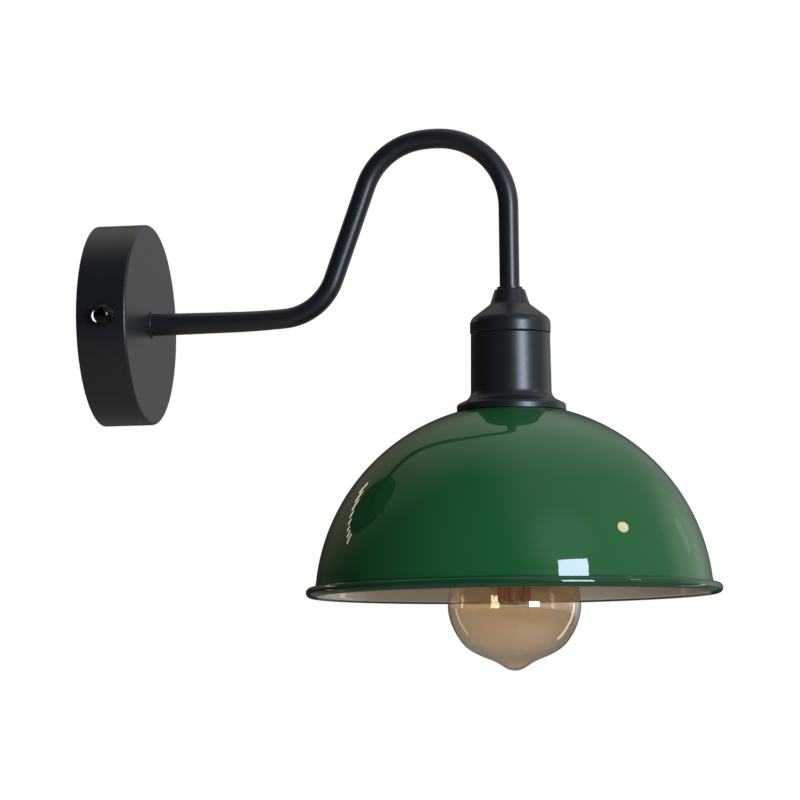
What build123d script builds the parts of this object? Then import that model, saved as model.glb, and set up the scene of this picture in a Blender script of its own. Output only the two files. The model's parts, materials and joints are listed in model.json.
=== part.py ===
from build123d import *
import math
import os

# Gooseneck wall sconce: round canopy, bent tube arm, metal lampholder cover,
# domed steel shade and a screw-in filament bulb.
# Millimetres. The origin is the centre of the canopy's back, on the wall (Y = 0).
# The lamp stands out along -Y, X runs along the wall and Z is up.

# ---- driving dimensions -------------------------------------------------------

canopy_d = 100.0            # round wall cover
canopy_depth = 25.0
canopy_wall = 1.0
canopy_edge_r = 1.5

arm_d = 9.8                 # bent steel tube
arm_root_d = 11.1           # it is thickest at the canopy
arm_bend_d = 10.35          # at the end of the level run; it is even past the gentle bend
arm_bore_d = 6.8
arm_thread_d = 9.4          # plain core of the M10 x 1 threaded ends
arm_thread_hole_d = 9.8

arm_inner_end = 15.0        # distance of the tube's inner end from the wall
arm_level_run = 41.0        # from the canopy's face to the first gentle bend
gentle_bend_r = 414.0
gentle_bend_deg = 3.76
rise_bend_r = 28.6
rise_bend_deg = 66.16
rise_run = 48.8             # straight slanting stretch
crook_rise_r = 33.6         # the crook is bent by hand: tight, nearly flat on top, and tight again
crook_rise_deg = 61.3
crook_top_r = 57.0
crook_top_deg = 12.0
crook_fall_r = 35.2
arm_drop_end_z = -5.0       # the arm's lower threaded end

neck_ring_r = 6.24          # thin ring that locks the cover on the arm
neck_ring_height = 1.2

cap_top_z = 11.4            # lampholder cover, upper bell
cap_neck_r = 7.4
cap_neck_foot_r = 9.75
cap_neck_foot_z = 4.1
cap_r = 19.78
cap_shoulder_z = -3.5
cap_foot_z = -10.4
cap_edge_r = 0.8            # the bell's bends, from its top edge to its foot
cap_neck_bend_r = 3.0
cap_shoulder_bend_r = 5.0
cap_foot_edge_r = 0.5
cover_wall = 1.0

shell_collar_r = 18.6       # lampholder cover, lower shell
shell_collar_top_z = -6.2
shell_top_z = -10.5
shell_top_r = 19.42         # the barrel widens a little downwards
shell_foot_r = 19.85
shell_foot_z = -41.95       # corner of the barrel and the sloping web, before rounding
flange_r = 26.75
flange_shoulder_z = -45.2   # corner of the web and the flange's rim, before rounding
flange_foot_z = -48.4
shell_step_r = 0.1
shell_edge_r = 0.6
shell_flare_r = 5.0
flange_edge_r = 1.8

shade_sphere_r = 97.25      # outside of the spun bowl
shade_sphere_z = -142.3     # height of the bowl's centre
shade_seat_z = -44.85       # top of the bowl's flat seat, just under the web
shade_wall = 1.0
shade_neck_r = 24.0         # flat seat pressed into the crown
shade_neck_slope = 0.4
shade_hole_r = 18.4
shade_straight_z = -131.5   # where the bowl turns straight into the rolled edge
bead_r = 2.5
bead_centre_r = 99.1
bead_centre_z = -136.3
bead_turn_deg = 285.0

socket_r = 18.0             # ceramic lampholder
socket_top_z = -12.0
socket_foot_z = -58.0
socket_floor_top_z = -24.0
socket_floor_z = -34.0
socket_bore_r = 14.0
screw_shell_r = 13.35       # bore of the threaded metal shell
screw_shell_wall = 0.4

cap_thread_r = 13.0         # bulb's screw cap, over its thread
bulb_top_z = -35.6
bulb_cap_top_z = -38.6
bulb_cap_foot_z = -60.5
bulb_max_r = 32.5
bulb_max_z = -143.5
bulb_tip_z = -175.2
glass_wall = 0.7

wire_d = 2.2                # insulated conductor
screw_axis_depth = 15.2     # side screws, distance from the wall

# ---- worked out from them -----------------------------------------------------

canopy_r = canopy_d / 2
rise_angle = gentle_bend_deg + rise_bend_deg
crook_fall_deg = rise_angle + 90.0 - crook_rise_deg - crook_top_deg
arm_head_thread_z = cap_top_z + neck_ring_height
WALL = Plane(origin=(0, 0, 0), x_dir=(1, 0, 0), z_dir=(0, -1, 0))


def travelled(start, heading_deg, steps):
    """Follow straight runs and tangent arcs in the (out, up) plane and give every stop."""
    out, up = start
    heading = math.radians(heading_deg)
    stops = [(out, up, heading)]
    for kind, size, turn_deg in steps:
        if kind == "run":
            out += size * math.cos(heading)
            up += size * math.sin(heading)
        else:
            turn = math.radians(turn_deg)
            side = math.copysign(1.0, turn)
            centre_out = out - side * size * math.sin(heading)
            centre_up = up + side * size * math.cos(heading)
            heading += turn
            out = centre_out + side * size * math.sin(heading)
            up = centre_up - side * size * math.cos(heading)
        stops.append((out, up, heading))
    return stops


def arm_steps():
    """The arm's straight runs and bends, from its inner end to its lower end."""
    steps = [
        ("run", canopy_depth + arm_level_run - arm_inner_end, 0.0),
        ("arc", gentle_bend_r, gentle_bend_deg),
        ("arc", rise_bend_r, rise_bend_deg),
        ("run", rise_run, 0.0),
        ("arc", crook_rise_r, -crook_rise_deg),
        ("arc", crook_top_r, -crook_top_deg),
        ("arc", crook_fall_r, -crook_fall_deg),
    ]
    last_up = travelled((arm_inner_end, 0.0), 0.0, steps)[-1][1]
    return steps + [("run", last_up - arm_drop_end_z, 0.0)]


def arm_line(x=0.0, skipped=0):
    """A planar wire of straight runs and tangent arcs along the arm, in the plane at x.
    It starts at the arm's inner end, or some steps later."""
    steps = arm_steps()
    stops = travelled((arm_inner_end, 0.0), 0.0, steps)
    edges = []
    for (kind, size, turn_deg), first, last in zip(steps, stops, stops[1:]):
        start = Vector(x, -first[0], first[1])
        end = Vector(x, -last[0], last[1])
        if kind == "run":
            edges.append(Line(start, end))
        else:
            tangent = Vector(0, -math.cos(first[2]), math.sin(first[2]))
            edges.append(TangentArc(start, end, tangent=tangent))
    return Wire([edge.edge() for edge in edges[skipped:]])


arm_reach = travelled((arm_inner_end, 0.0), 0.0, arm_steps())[-1][0]
HEAD = Location((0, -arm_reach, 0))


def spin(*lines):
    """Turn a closed outline of (radius, height) about the vertical axis."""
    face = make_face([edge for line in lines for edge in line.edges()])
    return revolve(Plane.XZ * face, Axis.Z)


def spun_sheet(line, thickness, side):
    """Give an open outline a sheet's thickness and turn it about the vertical axis."""
    section = offset(line, amount=thickness, side=side, closed=True)
    return spin(section)


STANDING = (Align.CENTER, Align.CENTER, Align.MIN)


def standing_cylinder(radius, low, high):
    return Pos(0, 0, low) * Cylinder(radius, high - low, align=STANDING)


def standing_box(length, width, low, high):
    return Pos(0, 0, low) * Box(length, width, high - low, align=STANDING)


def lock_nut():
    """Thin hexagonal nut for the arm's thread, its corners turned off, standing on Z = 0."""
    corner_r = nut_af / math.sqrt(3)
    blank = extrude(RegularPolygon(corner_r, 6), nut_height)
    turned_blank = standing_cylinder(corner_r, 0, nut_height)
    turned_blank = chamfer(turned_blank.edges().filter_by(GeomType.CIRCLE), nut_chamfer)
    return (blank & turned_blank) - Cylinder(arm_thread_d / 2 + nut_thread_gap, 3 * nut_height)


# ---- wall end -----------------------------------------------------------------

slot_d = 6.6                # side slots that the ball-head screws pass through
slot_first_depth = 10.9     # from here to the screw's axis, so the canopy can be pushed home
slot_shift = screw_axis_depth - slot_first_depth


def canopy():
    drum = standing_cylinder(canopy_r, 0, canopy_depth)
    rim = drum.edges().filter_by(GeomType.CIRCLE).sort_by(Axis.Z)[-1]
    drum = fillet(rim, canopy_edge_r)
    back = drum.faces().sort_by(Axis.Z)[0]
    drum = offset(drum, amount=-canopy_wall, openings=back, kind=Kind.INTERSECTION)
    drum -= Cylinder(arm_thread_hole_d / 2, 3 * canopy_depth)
    slot = SlotCenterToCenter(slot_shift, slot_d, rotation=90)
    side = Plane(origin=(0, 0, slot_first_depth + slot_shift / 2), x_dir=(0, 1, 0), z_dir=(1, 0, 0))
    drum -= extrude(side * slot, canopy_d, both=True)
    return WALL * drum


strap_wall = 1.8
strap_width = 24.0
strap_half = 46.8
ear_depth = 20.0
wall_slot_spacing = 70.0
wall_slot_d = 5.0
wall_slot_length = 14.0
side_screw_d = 4.0
thread_gap = 0.05           # slack round a screw in its tapped hole
ear_hole_d = 7.4            # plain hole beside the tapped one
ear_hole_depth = 8.2
window_x = -21.0            # window in the strap, where the mains cable comes in
window_up = 3.0
window_length = 18.0
window_width = 11.0
window_corner_r = 4.0
earth_screw_x = -20.0       # under the window
earth_screw_up = -7.6
block_x = 17.0
block_pitch = 9.5           # three poles, side by side up the wall
block_screw_d = 3.0
strap_bend_r = 3.0


def wall_bracket():
    outline = FilletPolyline(
        (-strap_half, ear_depth),
        (-strap_half, 0),
        (strap_half, 0),
        (strap_half, ear_depth),
        radius=strap_bend_r,
    )
    section = offset(outline, amount=strap_wall, side=Side.LEFT, closed=True)
    strap = extrude(Plane.XZ * make_face(section.edges()), strap_width / 2, both=True)
    ear_corners = strap.edges().filter_by(Axis.X).group_by(Axis.Z)[-1]
    strap = fillet(ear_corners, strap_width / 3)
    for x in (-wall_slot_spacing / 2, wall_slot_spacing / 2):
        strap -= extrude(Pos(x, 0, 0) * SlotOverall(wall_slot_length, wall_slot_d), strap_wall * 2, both=True)
    window = Pos(window_x, window_up) * RectangleRounded(window_length, window_width, window_corner_r)
    strap -= extrude(window, strap_wall * 2, both=True)
    strap -= EARTH_PLACE * Cylinder(earth_screw_d / 2 + thread_gap, 4 * strap_wall)
    strap -= Pos(block_x, -block_pitch / 2, 0) * Cylinder(block_screw_d / 2 + thread_gap, 4 * strap_wall)
    for depth, diameter in ((screw_axis_depth, side_screw_d + 2 * thread_gap), (ear_hole_depth, ear_hole_d)):
        strap -= Pos(0, 0, depth) * Rot(0, 90, 0) * Cylinder(diameter / 2, 3 * strap_half)
    return WALL * strap


ball_r = 5.1
ball_centre = 3.8           # the ball is cut flat where it seats
ball_seat_gap = 0.05
screw_tip_chamfer = 0.5


def ball_head_screw():
    """A knob-headed thumb screw on the Z axis, its seat on the canopy at height canopy_r."""
    seat = canopy_r + ball_seat_gap
    ball = Pos(0, 0, seat + ball_centre) * Sphere(ball_r)
    ball &= standing_cylinder(ball_r, seat, seat + 3 * ball_r)
    shank = standing_cylinder(side_screw_d / 2, strap_half - 2 * strap_wall, seat + ball_centre)
    tip = shank.edges().filter_by(GeomType.CIRCLE).sort_by(Axis.Z)[0]
    return ball + chamfer(tip, screw_tip_chamfer)


def ball_head_screws():
    screw = ball_head_screw()
    near = Pos(0, 0, screw_axis_depth) * Rot(0, -90, 0) * screw
    far = Pos(0, 0, screw_axis_depth) * Rot(0, 90, 0) * screw
    return Compound([WALL * near, WALL * far])


EARTH_PLACE = Pos(earth_screw_x, earth_screw_up, 0)
earth_screw_d = 4.0
earth_head_d = 7.6
earth_head_height = 2.6
earth_head_edge_r = 1.2
earth_recess = 1.0
ring_tag_wall = 0.8
spring_washer_wall = 1.0
spring_washer_r = 3.9
spring_washer_split = 0.5
spring_washer_split_x = 2.9
spring_washer_slant = 20.0
washer_gap = 0.15           # slack round a screw in its washer or tag
recess_share = 0.65         # a cross recess against its head: how far across, and how deep
recess_depth_share = 0.375


def pan_head(diameter, seat, height, edge_r, recess_width):
    """A round screw head on its seat, with a cross recess."""
    top = seat + height
    head = standing_cylinder(diameter / 2, seat, top)
    head = fillet(head.edges().filter_by(GeomType.CIRCLE).sort_by(Axis.Z)[-1], edge_r)
    slot = Box(recess_share * diameter, recess_width, 2 * recess_depth_share * height)
    for turn in (0, 90):
        head -= Pos(0, 0, top) * Rot(0, 0, turn) * slot
    return head


def earth_screw():
    seat = strap_wall + ring_tag_wall + spring_washer_wall
    shank = standing_cylinder(earth_screw_d / 2, 0, seat)
    head = pan_head(earth_head_d, seat, earth_head_height, earth_head_edge_r, earth_recess)
    return WALL * EARTH_PLACE * (shank + head)


def earth_washer():
    """Spring washer, split on a slant."""
    seat = strap_wall + ring_tag_wall
    ring = standing_cylinder(spring_washer_r, seat, seat + spring_washer_wall)
    ring -= Cylinder(earth_screw_d / 2 + washer_gap, 4 * seat)
    split = Box(spring_washer_r, spring_washer_split, 6 * spring_washer_wall)
    ring -= Pos(spring_washer_split_x, 0, seat) * Rot(spring_washer_slant, 0, 0) * split
    return WALL * EARTH_PLACE * ring


tag_ring_r = 4.0
tag_neck_width = 3.4
barrel_start = 6.0
barrel_length = 6.0
barrel_r = 1.9
crimp_gap = 0.03            # between the wire and what grips it


def earth_tag():
    """Crimped ring tag: a flat eye under the screw and a barrel round the wire."""
    neck = Pos(tag_ring_r, 0) * Rectangle(2 * barrel_start - tag_ring_r, tag_neck_width)
    eye = extrude(Circle(tag_ring_r) + neck, ring_tag_wall)
    eye -= Cylinder(earth_screw_d / 2 + washer_gap, 4 * ring_tag_wall)
    barrel = Cylinder(barrel_r, barrel_length) - Cylinder(wire_d / 2 + crimp_gap, 3 * barrel_length)
    barrel = Pos(barrel_start + barrel_length / 2, 0, barrel_r) * Rot(0, 90, 0) * barrel
    return WALL * EARTH_PLACE * Pos(0, 0, strap_wall) * (eye + barrel)


block_length = 16.0         # along the wires
block_height = 11.0
block_web_length = 14.0
block_web_width = 3 * block_pitch - 3.0
block_web_height = 5.0
bridge_width = 6.2          # over each brass tube
bridge_height = 8.4
bridge_edge_r = 2.0
tower_d = 7.2
pole_d = 4.2                # brass tubes
pole_length = 15.0
pole_bore_d = 2.6
pole_height = 5.4           # tube's axis above the strap
pole_screw_x = 4.4
pole_screw_d = 2.6
pole_screw_gap = 0.02
pole_screw_slot = 0.5
pole_screw_slot_depth = 0.8
pole_screw_sink = 1.5       # the screw's top lies this far down its tower
tower_hole_gap = 0.3
wire_bite = 0.4             # a terminal screw dents its wire this much
block_screw_head_d = 4.4
block_screw_head_height = 1.8
block_screw_edge_r = 0.8
block_screw_recess = 0.7
block_screw_gap = 0.15
block_head_gap = 0.1
POLE_Y = [-block_pitch, 0.0, block_pitch]
POLE_SCREW_X = [-pole_screw_x, pole_screw_x]


def terminal_block():
    """Three-way strip: rounded towers on a thin web, bored for the brass tubes and screws."""
    low = strap_wall
    above = low + 2 * block_height
    seat = low + block_web_height
    body = standing_box(block_web_length, block_web_width, low, seat)
    for y in POLE_Y:
        bridge = standing_box(block_length, bridge_width, low, low + bridge_height)
        bridge = fillet(bridge.edges().filter_by(Axis.X).group_by(Axis.Z)[-1], bridge_edge_r)
        body += Pos(0, y, 0) * bridge
        for x in POLE_SCREW_X:
            body += Pos(x, y, 0) * standing_cylinder(tower_d / 2, low, low + block_height)
    for y in POLE_Y:
        body -= Pos(0, y, low + pole_height) * Rot(0, 90, 0) * Cylinder(pole_d / 2, 3 * block_length)
        for x in POLE_SCREW_X:
            hole = standing_cylinder(pole_screw_d / 2 + tower_hole_gap, low + pole_height, above)
            body -= Pos(x, y, 0) * hole
    for y in (-block_pitch / 2, block_pitch / 2):
        body -= Pos(0, y, 0) * standing_cylinder(block_screw_d / 2 + block_screw_gap, 0, above)
        body -= Pos(0, y, 0) * standing_cylinder(block_screw_head_d / 2 + block_head_gap, seat, above)
    return WALL * Pos(block_x, 0, 0) * body


def terminal_tubes():
    """Brass tubes in the block, bored through for the wires and tapped from above."""
    tubes = []
    for y in POLE_Y:
        tube = Cylinder(pole_d / 2, pole_length) - Cylinder(pole_bore_d / 2, 2 * pole_length)
        tube = Rot(0, 90, 0) * tube
        for x in POLE_SCREW_X:
            tube -= Pos(x, 0, 0) * standing_cylinder(pole_screw_d / 2, 0, pole_d)
        tubes.append(WALL * Pos(block_x, y, strap_wall + pole_height) * tube)
    return Compound(tubes)


def terminal_screws():
    """Grub screws that bite down on the wires."""
    screws = []
    low = strap_wall + pole_height + wire_d / 2 - wire_bite
    high = strap_wall + block_height - pole_screw_sink
    for y in POLE_Y:
        for x in POLE_SCREW_X:
            screw = standing_cylinder(pole_screw_d / 2 - pole_screw_gap, low, high)
            screw -= Pos(0, 0, high) * Box(2 * pole_screw_d, pole_screw_slot, 2 * pole_screw_slot_depth)
            screws.append(WALL * Pos(block_x + x, y, 0) * screw)
    return Compound(screws)


def block_screw():
    seat = strap_wall + block_web_height
    shank = standing_cylinder(block_screw_d / 2, 0, seat)
    head = pan_head(block_screw_head_d, seat, block_screw_head_height, block_screw_edge_r, block_screw_recess)
    return WALL * Pos(block_x, -block_pitch / 2, 0) * (shank + head)


# ---- the arm and what holds it to the canopy ------------------------------------

nut_af = 14.0
nut_height = 3.0
nut_chamfer = 0.6
nut_thread_gap = 0.03       # between the arm's thread core and a nut, bush or ring on it
star_washer_wall = 0.8
star_washer_r = 8.2
star_rim_r = 6.6            # where the teeth begin
star_hole_gap = 0.2
star_teeth = 12
tooth_length = 2.4
tooth_width = 1.8
tooth_wall = 0.6
tooth_twist = 25.0
collar_r = 6.6
collar_wall = 1.0
collar_edge_r = 0.4
collar_gap = 0.05


def swept_round(diameter, line):
    start = Plane(origin=line @ 0, z_dir=line % 0)
    return sweep(start * Circle(diameter / 2), path=line)


def tapered_bend():
    """The gentle bend, thinning from the level run's end to the even tube, through three rings."""
    half = ("arc", gentle_bend_r, gentle_bend_deg / 2)
    stops = travelled((canopy_depth + arm_level_run, 0.0), 0.0, [half, half])
    rings = []
    for (out, up, heading), diameter in zip(stops, (arm_bend_d, (arm_bend_d + arm_d) / 2, arm_d)):
        across = Plane(origin=(0, -out, up), z_dir=(0, -math.cos(heading), math.sin(heading)))
        rings.append(across * Circle(diameter / 2))
    return loft(rings)


def arm_tube():
    """Bent tube: a thread, a long taper, even bends, and a thread hanging in the lampholder cover."""
    run = Cone(arm_root_d / 2, arm_bend_d / 2, arm_level_run, align=STANDING)
    thread = standing_cylinder(arm_thread_d / 2, arm_inner_end, canopy_depth)
    tube = WALL * (thread + Pos(0, 0, canopy_depth) * run)
    tube += tapered_bend()
    tube += swept_round(arm_d, arm_line(skipped=2))
    tube -= HEAD * standing_cylinder(arm_d, arm_drop_end_z - arm_d, arm_head_thread_z)
    tube += HEAD * standing_cylinder(arm_thread_d / 2, arm_drop_end_z, arm_head_thread_z)
    return tube - swept_round(arm_bore_d, arm_line())


def arm_collar():
    """Thin washer that shows where the arm leaves the canopy."""
    ring = standing_cylinder(collar_r, canopy_depth, canopy_depth + collar_wall)
    ring = fillet(ring.edges().filter_by(GeomType.CIRCLE).sort_by(Axis.Z)[-1], collar_edge_r)
    ring -= Cylinder(arm_root_d / 2 + collar_gap, 3 * canopy_depth)
    return WALL * ring


def arm_star_washer():
    """Toothed lock washer that bites through the paint and earths the arm."""
    high = canopy_depth - canopy_wall
    low = high - star_washer_wall
    ring = standing_cylinder(star_rim_r, low, high)
    tooth = Rot(tooth_twist, 0, 0) * Box(tooth_length, tooth_width, tooth_wall)
    tooth = Pos(star_washer_r - tooth_length / 2, 0, (low + high) / 2) * tooth
    teeth = [Rot(0, 0, 360 / star_teeth * step) * tooth for step in range(star_teeth)]
    ring = ring + teeth
    ring &= standing_cylinder(star_washer_r, low, high)
    ring -= Cylinder(arm_thread_d / 2 + star_hole_gap, 3 * canopy_depth)
    return WALL * ring


def arm_nut():
    high = canopy_depth - canopy_wall - star_washer_wall
    return WALL * Pos(0, 0, high - nut_height) * lock_nut()


# ---- lampholder cover and what hangs in it ---------------------------------------

neck_ring_edge_r = 0.3
coupler_r = 6.3
coupler_foot_z = 0.4
coupler_chamfer = 0.5
saddle_wall = 1.5
saddle_half = 9.8
saddle_lean = 1.0           # the saddle's legs lean in this much
saddle_foot_half = 16.4
saddle_foot_bend_r = 1.0
saddle_top_bend_r = 1.2
saddle_width = 10.0
saddle_screw_x = 14.1
saddle_head_r = 2.5
saddle_head_height = 1.9
saddle_head_edge_r = 1.2
saddle_head_slot = 0.8
saddle_head_slot_depth = 0.9
saddle_screw_length = 9.0
saddle_screw_d = 3.0
saddle_screw_gap = 0.1
ARM_THREAD_HOLE = Cylinder(arm_thread_d / 2 + nut_thread_gap, 100)


def neck_ring():
    ring = standing_cylinder(neck_ring_r, cap_top_z, cap_top_z + neck_ring_height)
    ring = fillet(ring.edges().filter_by(GeomType.CIRCLE), neck_ring_edge_r)
    return HEAD * (ring - ARM_THREAD_HOLE)


def cover_cap():
    """Upper bell of the lampholder cover: a spun neck, sloping shoulder and short band."""
    line = FilletPolyline(
        (arm_thread_hole_d / 2, cap_top_z),
        (cap_neck_r, cap_top_z),
        (cap_neck_foot_r, cap_neck_foot_z),
        (cap_r, cap_shoulder_z),
        (cap_r, cap_foot_z),
        radius=[cap_edge_r, cap_neck_bend_r, cap_shoulder_bend_r],
    )
    bell = spun_sheet(line, cover_wall, Side.RIGHT)
    foot = bell.edges().filter_by(GeomType.CIRCLE).group_by(Axis.Z)[0].sort_by(SortBy.RADIUS)[-1]
    return HEAD * fillet(foot, cap_foot_edge_r)


def cover_shell():
    """Lower shell: a collar inside the bell, a long barrel, and a flared web with a turned-down rim."""
    line = FilletPolyline(
        (shell_collar_r, shell_collar_top_z),
        (shell_collar_r, shell_top_z),
        (shell_top_r, shell_top_z),
        (shell_foot_r, shell_foot_z),
        (flange_r, flange_shoulder_z),
        (flange_r, flange_foot_z),
        radius=[shell_step_r, shell_edge_r, shell_flare_r, flange_edge_r],
    )
    return HEAD * spun_sheet(line, cover_wall, Side.RIGHT)


def coupler():
    """Round threaded bush that clamps the bell against the neck ring."""
    bush = standing_cylinder(coupler_r, coupler_foot_z, cap_top_z - cover_wall)
    bush = chamfer(bush.edges().filter_by(GeomType.CIRCLE), coupler_chamfer)
    return HEAD * (bush - ARM_THREAD_HOLE)


def socket_saddle():
    """Bent steel strap on the arm's thread, with feet screwed to the ceramic body."""
    low = socket_top_z
    high = coupler_foot_z - saddle_wall
    top_half = saddle_half - saddle_lean
    line = FilletPolyline(
        (-saddle_foot_half, low),
        (-saddle_half, low),
        (-top_half, high),
        (top_half, high),
        (saddle_half, low),
        (saddle_foot_half, low),
        radius=[saddle_foot_bend_r, saddle_top_bend_r, saddle_top_bend_r, saddle_foot_bend_r],
    )
    section = offset(line, amount=saddle_wall, side=Side.LEFT, closed=True)
    strap = extrude(Plane.XZ * make_face(section.edges()), saddle_width / 2, both=True)
    strap -= ARM_THREAD_HOLE
    for x in (-saddle_screw_x, saddle_screw_x):
        strap -= Pos(x, 0, low) * Cylinder(saddle_screw_d / 2 + saddle_screw_gap, 4 * saddle_wall)
    return HEAD * strap


def saddle_screws():
    seat = socket_top_z + saddle_wall
    top = seat + saddle_head_height
    shank = standing_cylinder(saddle_screw_d / 2, seat - saddle_screw_length, seat)
    head = standing_cylinder(saddle_head_r, seat, top)
    head = fillet(head.edges().filter_by(GeomType.CIRCLE).sort_by(Axis.Z)[-1], saddle_head_edge_r)
    head -= Pos(0, 0, top) * Box(4 * saddle_head_r, saddle_head_slot, 2 * saddle_head_slot_depth)
    return Compound([HEAD * Pos(x, 0, 0) * (shank + head) for x in (-saddle_screw_x, saddle_screw_x)])


def saddle_nut():
    high = coupler_foot_z - saddle_wall
    return HEAD * Pos(0, 0, high - nut_height) * lock_nut()


body_edge_r = 1.0
mouth_chamfer = 0.8
body_screw_gap = 0.02
pocket_x = 17.0
pocket_y = 23.0
pocket_corner_r = 3.0
terminal_y = 6.5
terminal_size = 6.0
terminal_height = 8.0
terminal_chamfer = 0.4
terminal_floor = 2.0        # brass left under the wire's hole
terminal_hole_gap = 0.1
terminal_screw_up = 5.0
terminal_screw_r = 1.23
terminal_screw_gap = 0.02
terminal_head_r = 2.3
terminal_head_height = 1.6
terminal_head_slot = 0.7
terminal_head_slot_depth = 0.7
rivet_d = 3.0
rivet_gap = 0.1


def socket_body():
    """Glazed ceramic lampholder: threaded-skirt barrel, terminal pocket above, screw-shell bore below."""
    barrel = standing_cylinder(socket_r, socket_foot_z, socket_top_z)
    rims = barrel.edges().filter_by(GeomType.CIRCLE)
    barrel = fillet(rims, body_edge_r)
    pocket = RectangleRounded(pocket_x, pocket_y, pocket_corner_r)
    barrel -= Pos(0, 0, socket_floor_top_z) * extrude(pocket, socket_top_z - socket_floor_top_z)
    barrel -= standing_cylinder(socket_bore_r, socket_foot_z, socket_floor_z)
    mouth = barrel.edges().filter_by(GeomType.CIRCLE).group_by(Axis.Z)[0].sort_by(SortBy.RADIUS)[0]
    barrel = chamfer(mouth, mouth_chamfer)
    rivet_hole = standing_cylinder(rivet_d / 2 + rivet_gap, socket_floor_z, socket_floor_top_z)
    for y in (-terminal_y, terminal_y):
        barrel -= Pos(0, y, 0) * rivet_hole
    tapped = standing_cylinder(saddle_screw_d / 2 + body_screw_gap, socket_top_z - saddle_screw_length, 0)
    for x in (-saddle_screw_x, saddle_screw_x):
        barrel -= Pos(x, 0, 0) * tapped
    return HEAD * barrel


def socket_terminals():
    """Two brass blocks on the pocket's floor, each bored from above for its wire."""
    floor = socket_floor_top_z
    block = standing_box(terminal_size, terminal_size, floor, floor + terminal_height)
    block = chamfer(block.edges().group_by(Axis.Z)[-1], terminal_chamfer)
    block -= standing_cylinder(wire_d / 2 + terminal_hole_gap, floor + terminal_floor, 0)
    tapped = Rot(0, 90, 0) * Cylinder(terminal_screw_r + terminal_screw_gap, terminal_size)
    block -= Pos(terminal_size / 2, 0, floor + terminal_screw_up) * tapped
    return Compound([HEAD * Pos(0, y, 0) * block for y in (-terminal_y, terminal_y)])


def socket_terminal_screws():
    seat = terminal_size / 2
    top = seat + terminal_head_height
    screw = standing_cylinder(terminal_screw_r, wire_d / 2, seat)
    screw += standing_cylinder(terminal_head_r, seat, top)
    screw -= Pos(0, 0, top) * Box(terminal_head_slot, 4 * terminal_head_r, 2 * terminal_head_slot_depth)
    screw = Pos(0, 0, socket_floor_top_z + terminal_screw_up) * Rot(0, 90, 0) * screw
    return Compound([HEAD * Pos(0, y, 0) * screw for y in (-terminal_y, terminal_y)])


tongue_width = 5.0
tongue_wall = 0.4
tongue_flat = 4.5           # the part under the rivet
tongue_tip_y = 3.0
tongue_press = 0.15         # slack over the bulb's contact
rivet_head_height = 1.2
shell_lip = 1.5             # the metal shell stops this far inside the ceramic's mouth
lug_width = 6.0
lug_length = 7.2
lug_shift = 3.2


def centre_contact():
    """Sprung brass tongue under the floor, riveted up through it, its tip turned up a little."""
    flat_z = socket_floor_z
    touch_z = bulb_top_z + tongue_wall + tongue_press
    line = Polyline(
        (-terminal_y - tongue_flat / 2, flat_z),
        (-terminal_y + tongue_flat / 2, flat_z),
        (tongue_tip_y / 6, touch_z),
        (tongue_tip_y, touch_z + tongue_wall),
    )
    section = offset(line, amount=tongue_wall, side=Side.RIGHT, closed=True)
    tongue = extrude(Plane.YZ * make_face(section.edges()), tongue_width / 2, both=True)
    rivet = standing_cylinder(rivet_d / 2, flat_z - rivet_head_height, socket_floor_top_z)
    return HEAD * (tongue + Pos(0, -terminal_y, 0) * rivet)


def screw_shell():
    """Thin threaded brass shell for the bulb's cap, with a lug riveted up through the floor."""
    floor = socket_floor_z
    shell = standing_cylinder(screw_shell_r + screw_shell_wall, socket_foot_z + shell_lip, floor)
    shell -= standing_cylinder(screw_shell_r, socket_foot_z, 0)
    lug = standing_box(lug_width, lug_length, floor - screw_shell_wall, floor)
    lug = Pos(0, terminal_y + lug_shift, 0) * lug
    rivet = standing_cylinder(rivet_d / 2, floor - rivet_head_height, socket_floor_top_z)
    return HEAD * (shell + lug + Pos(0, terminal_y, 0) * rivet)


# ---- shade -----------------------------------------------------------------------

neck_bend_r = 1.2
ring_bore_r = 18.06
ring_flange_r = 22.2
ring_body_r = 20.6
ring_flange_height = 2.2
ring_slope = 1.0            # height of the cone between the flange and the body
ring_height = 7.5
ring_notches = 18
notch_r = 1.1
notch_centre_r = 22.6


def shade():
    """Spun steel bowl: flat seat, spherical wall and an edge rolled outwards into a bead."""
    inner_r = shade_sphere_r - shade_wall
    seat_z = shade_seat_z - shade_wall
    seat = (shade_hole_r, seat_z)
    crown_angle = math.asin((shade_neck_r + shade_neck_slope) / inner_r)
    end_angle = math.acos((shade_straight_z - shade_sphere_z) / inner_r)
    middle_angle = (crown_angle + end_angle) / 2

    def on_bowl(angle):
        return (inner_r * math.sin(angle), shade_sphere_z + inner_r * math.cos(angle))

    def on_bead(degrees):
        angle = math.radians(degrees)
        return (bead_centre_r + bead_r * math.cos(angle), bead_centre_z + bead_r * math.sin(angle))

    neck = FilletPolyline(seat, (shade_neck_r - shade_wall, seat_z), on_bowl(crown_angle), radius=neck_bend_r)
    bowl = ThreePointArc(on_bowl(crown_angle), on_bowl(middle_angle), on_bowl(end_angle))
    wall = Line(on_bowl(end_angle), on_bead(180))
    bead_end = 180 + bead_turn_deg
    bead = ThreePointArc(on_bead(180), on_bead(180 + bead_turn_deg / 2), on_bead(bead_end))
    line = Wire(neck.edges() + bowl.edges() + wall.edges() + bead.edges())
    return HEAD * spun_sheet(line, shade_wall, Side.LEFT)


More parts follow.
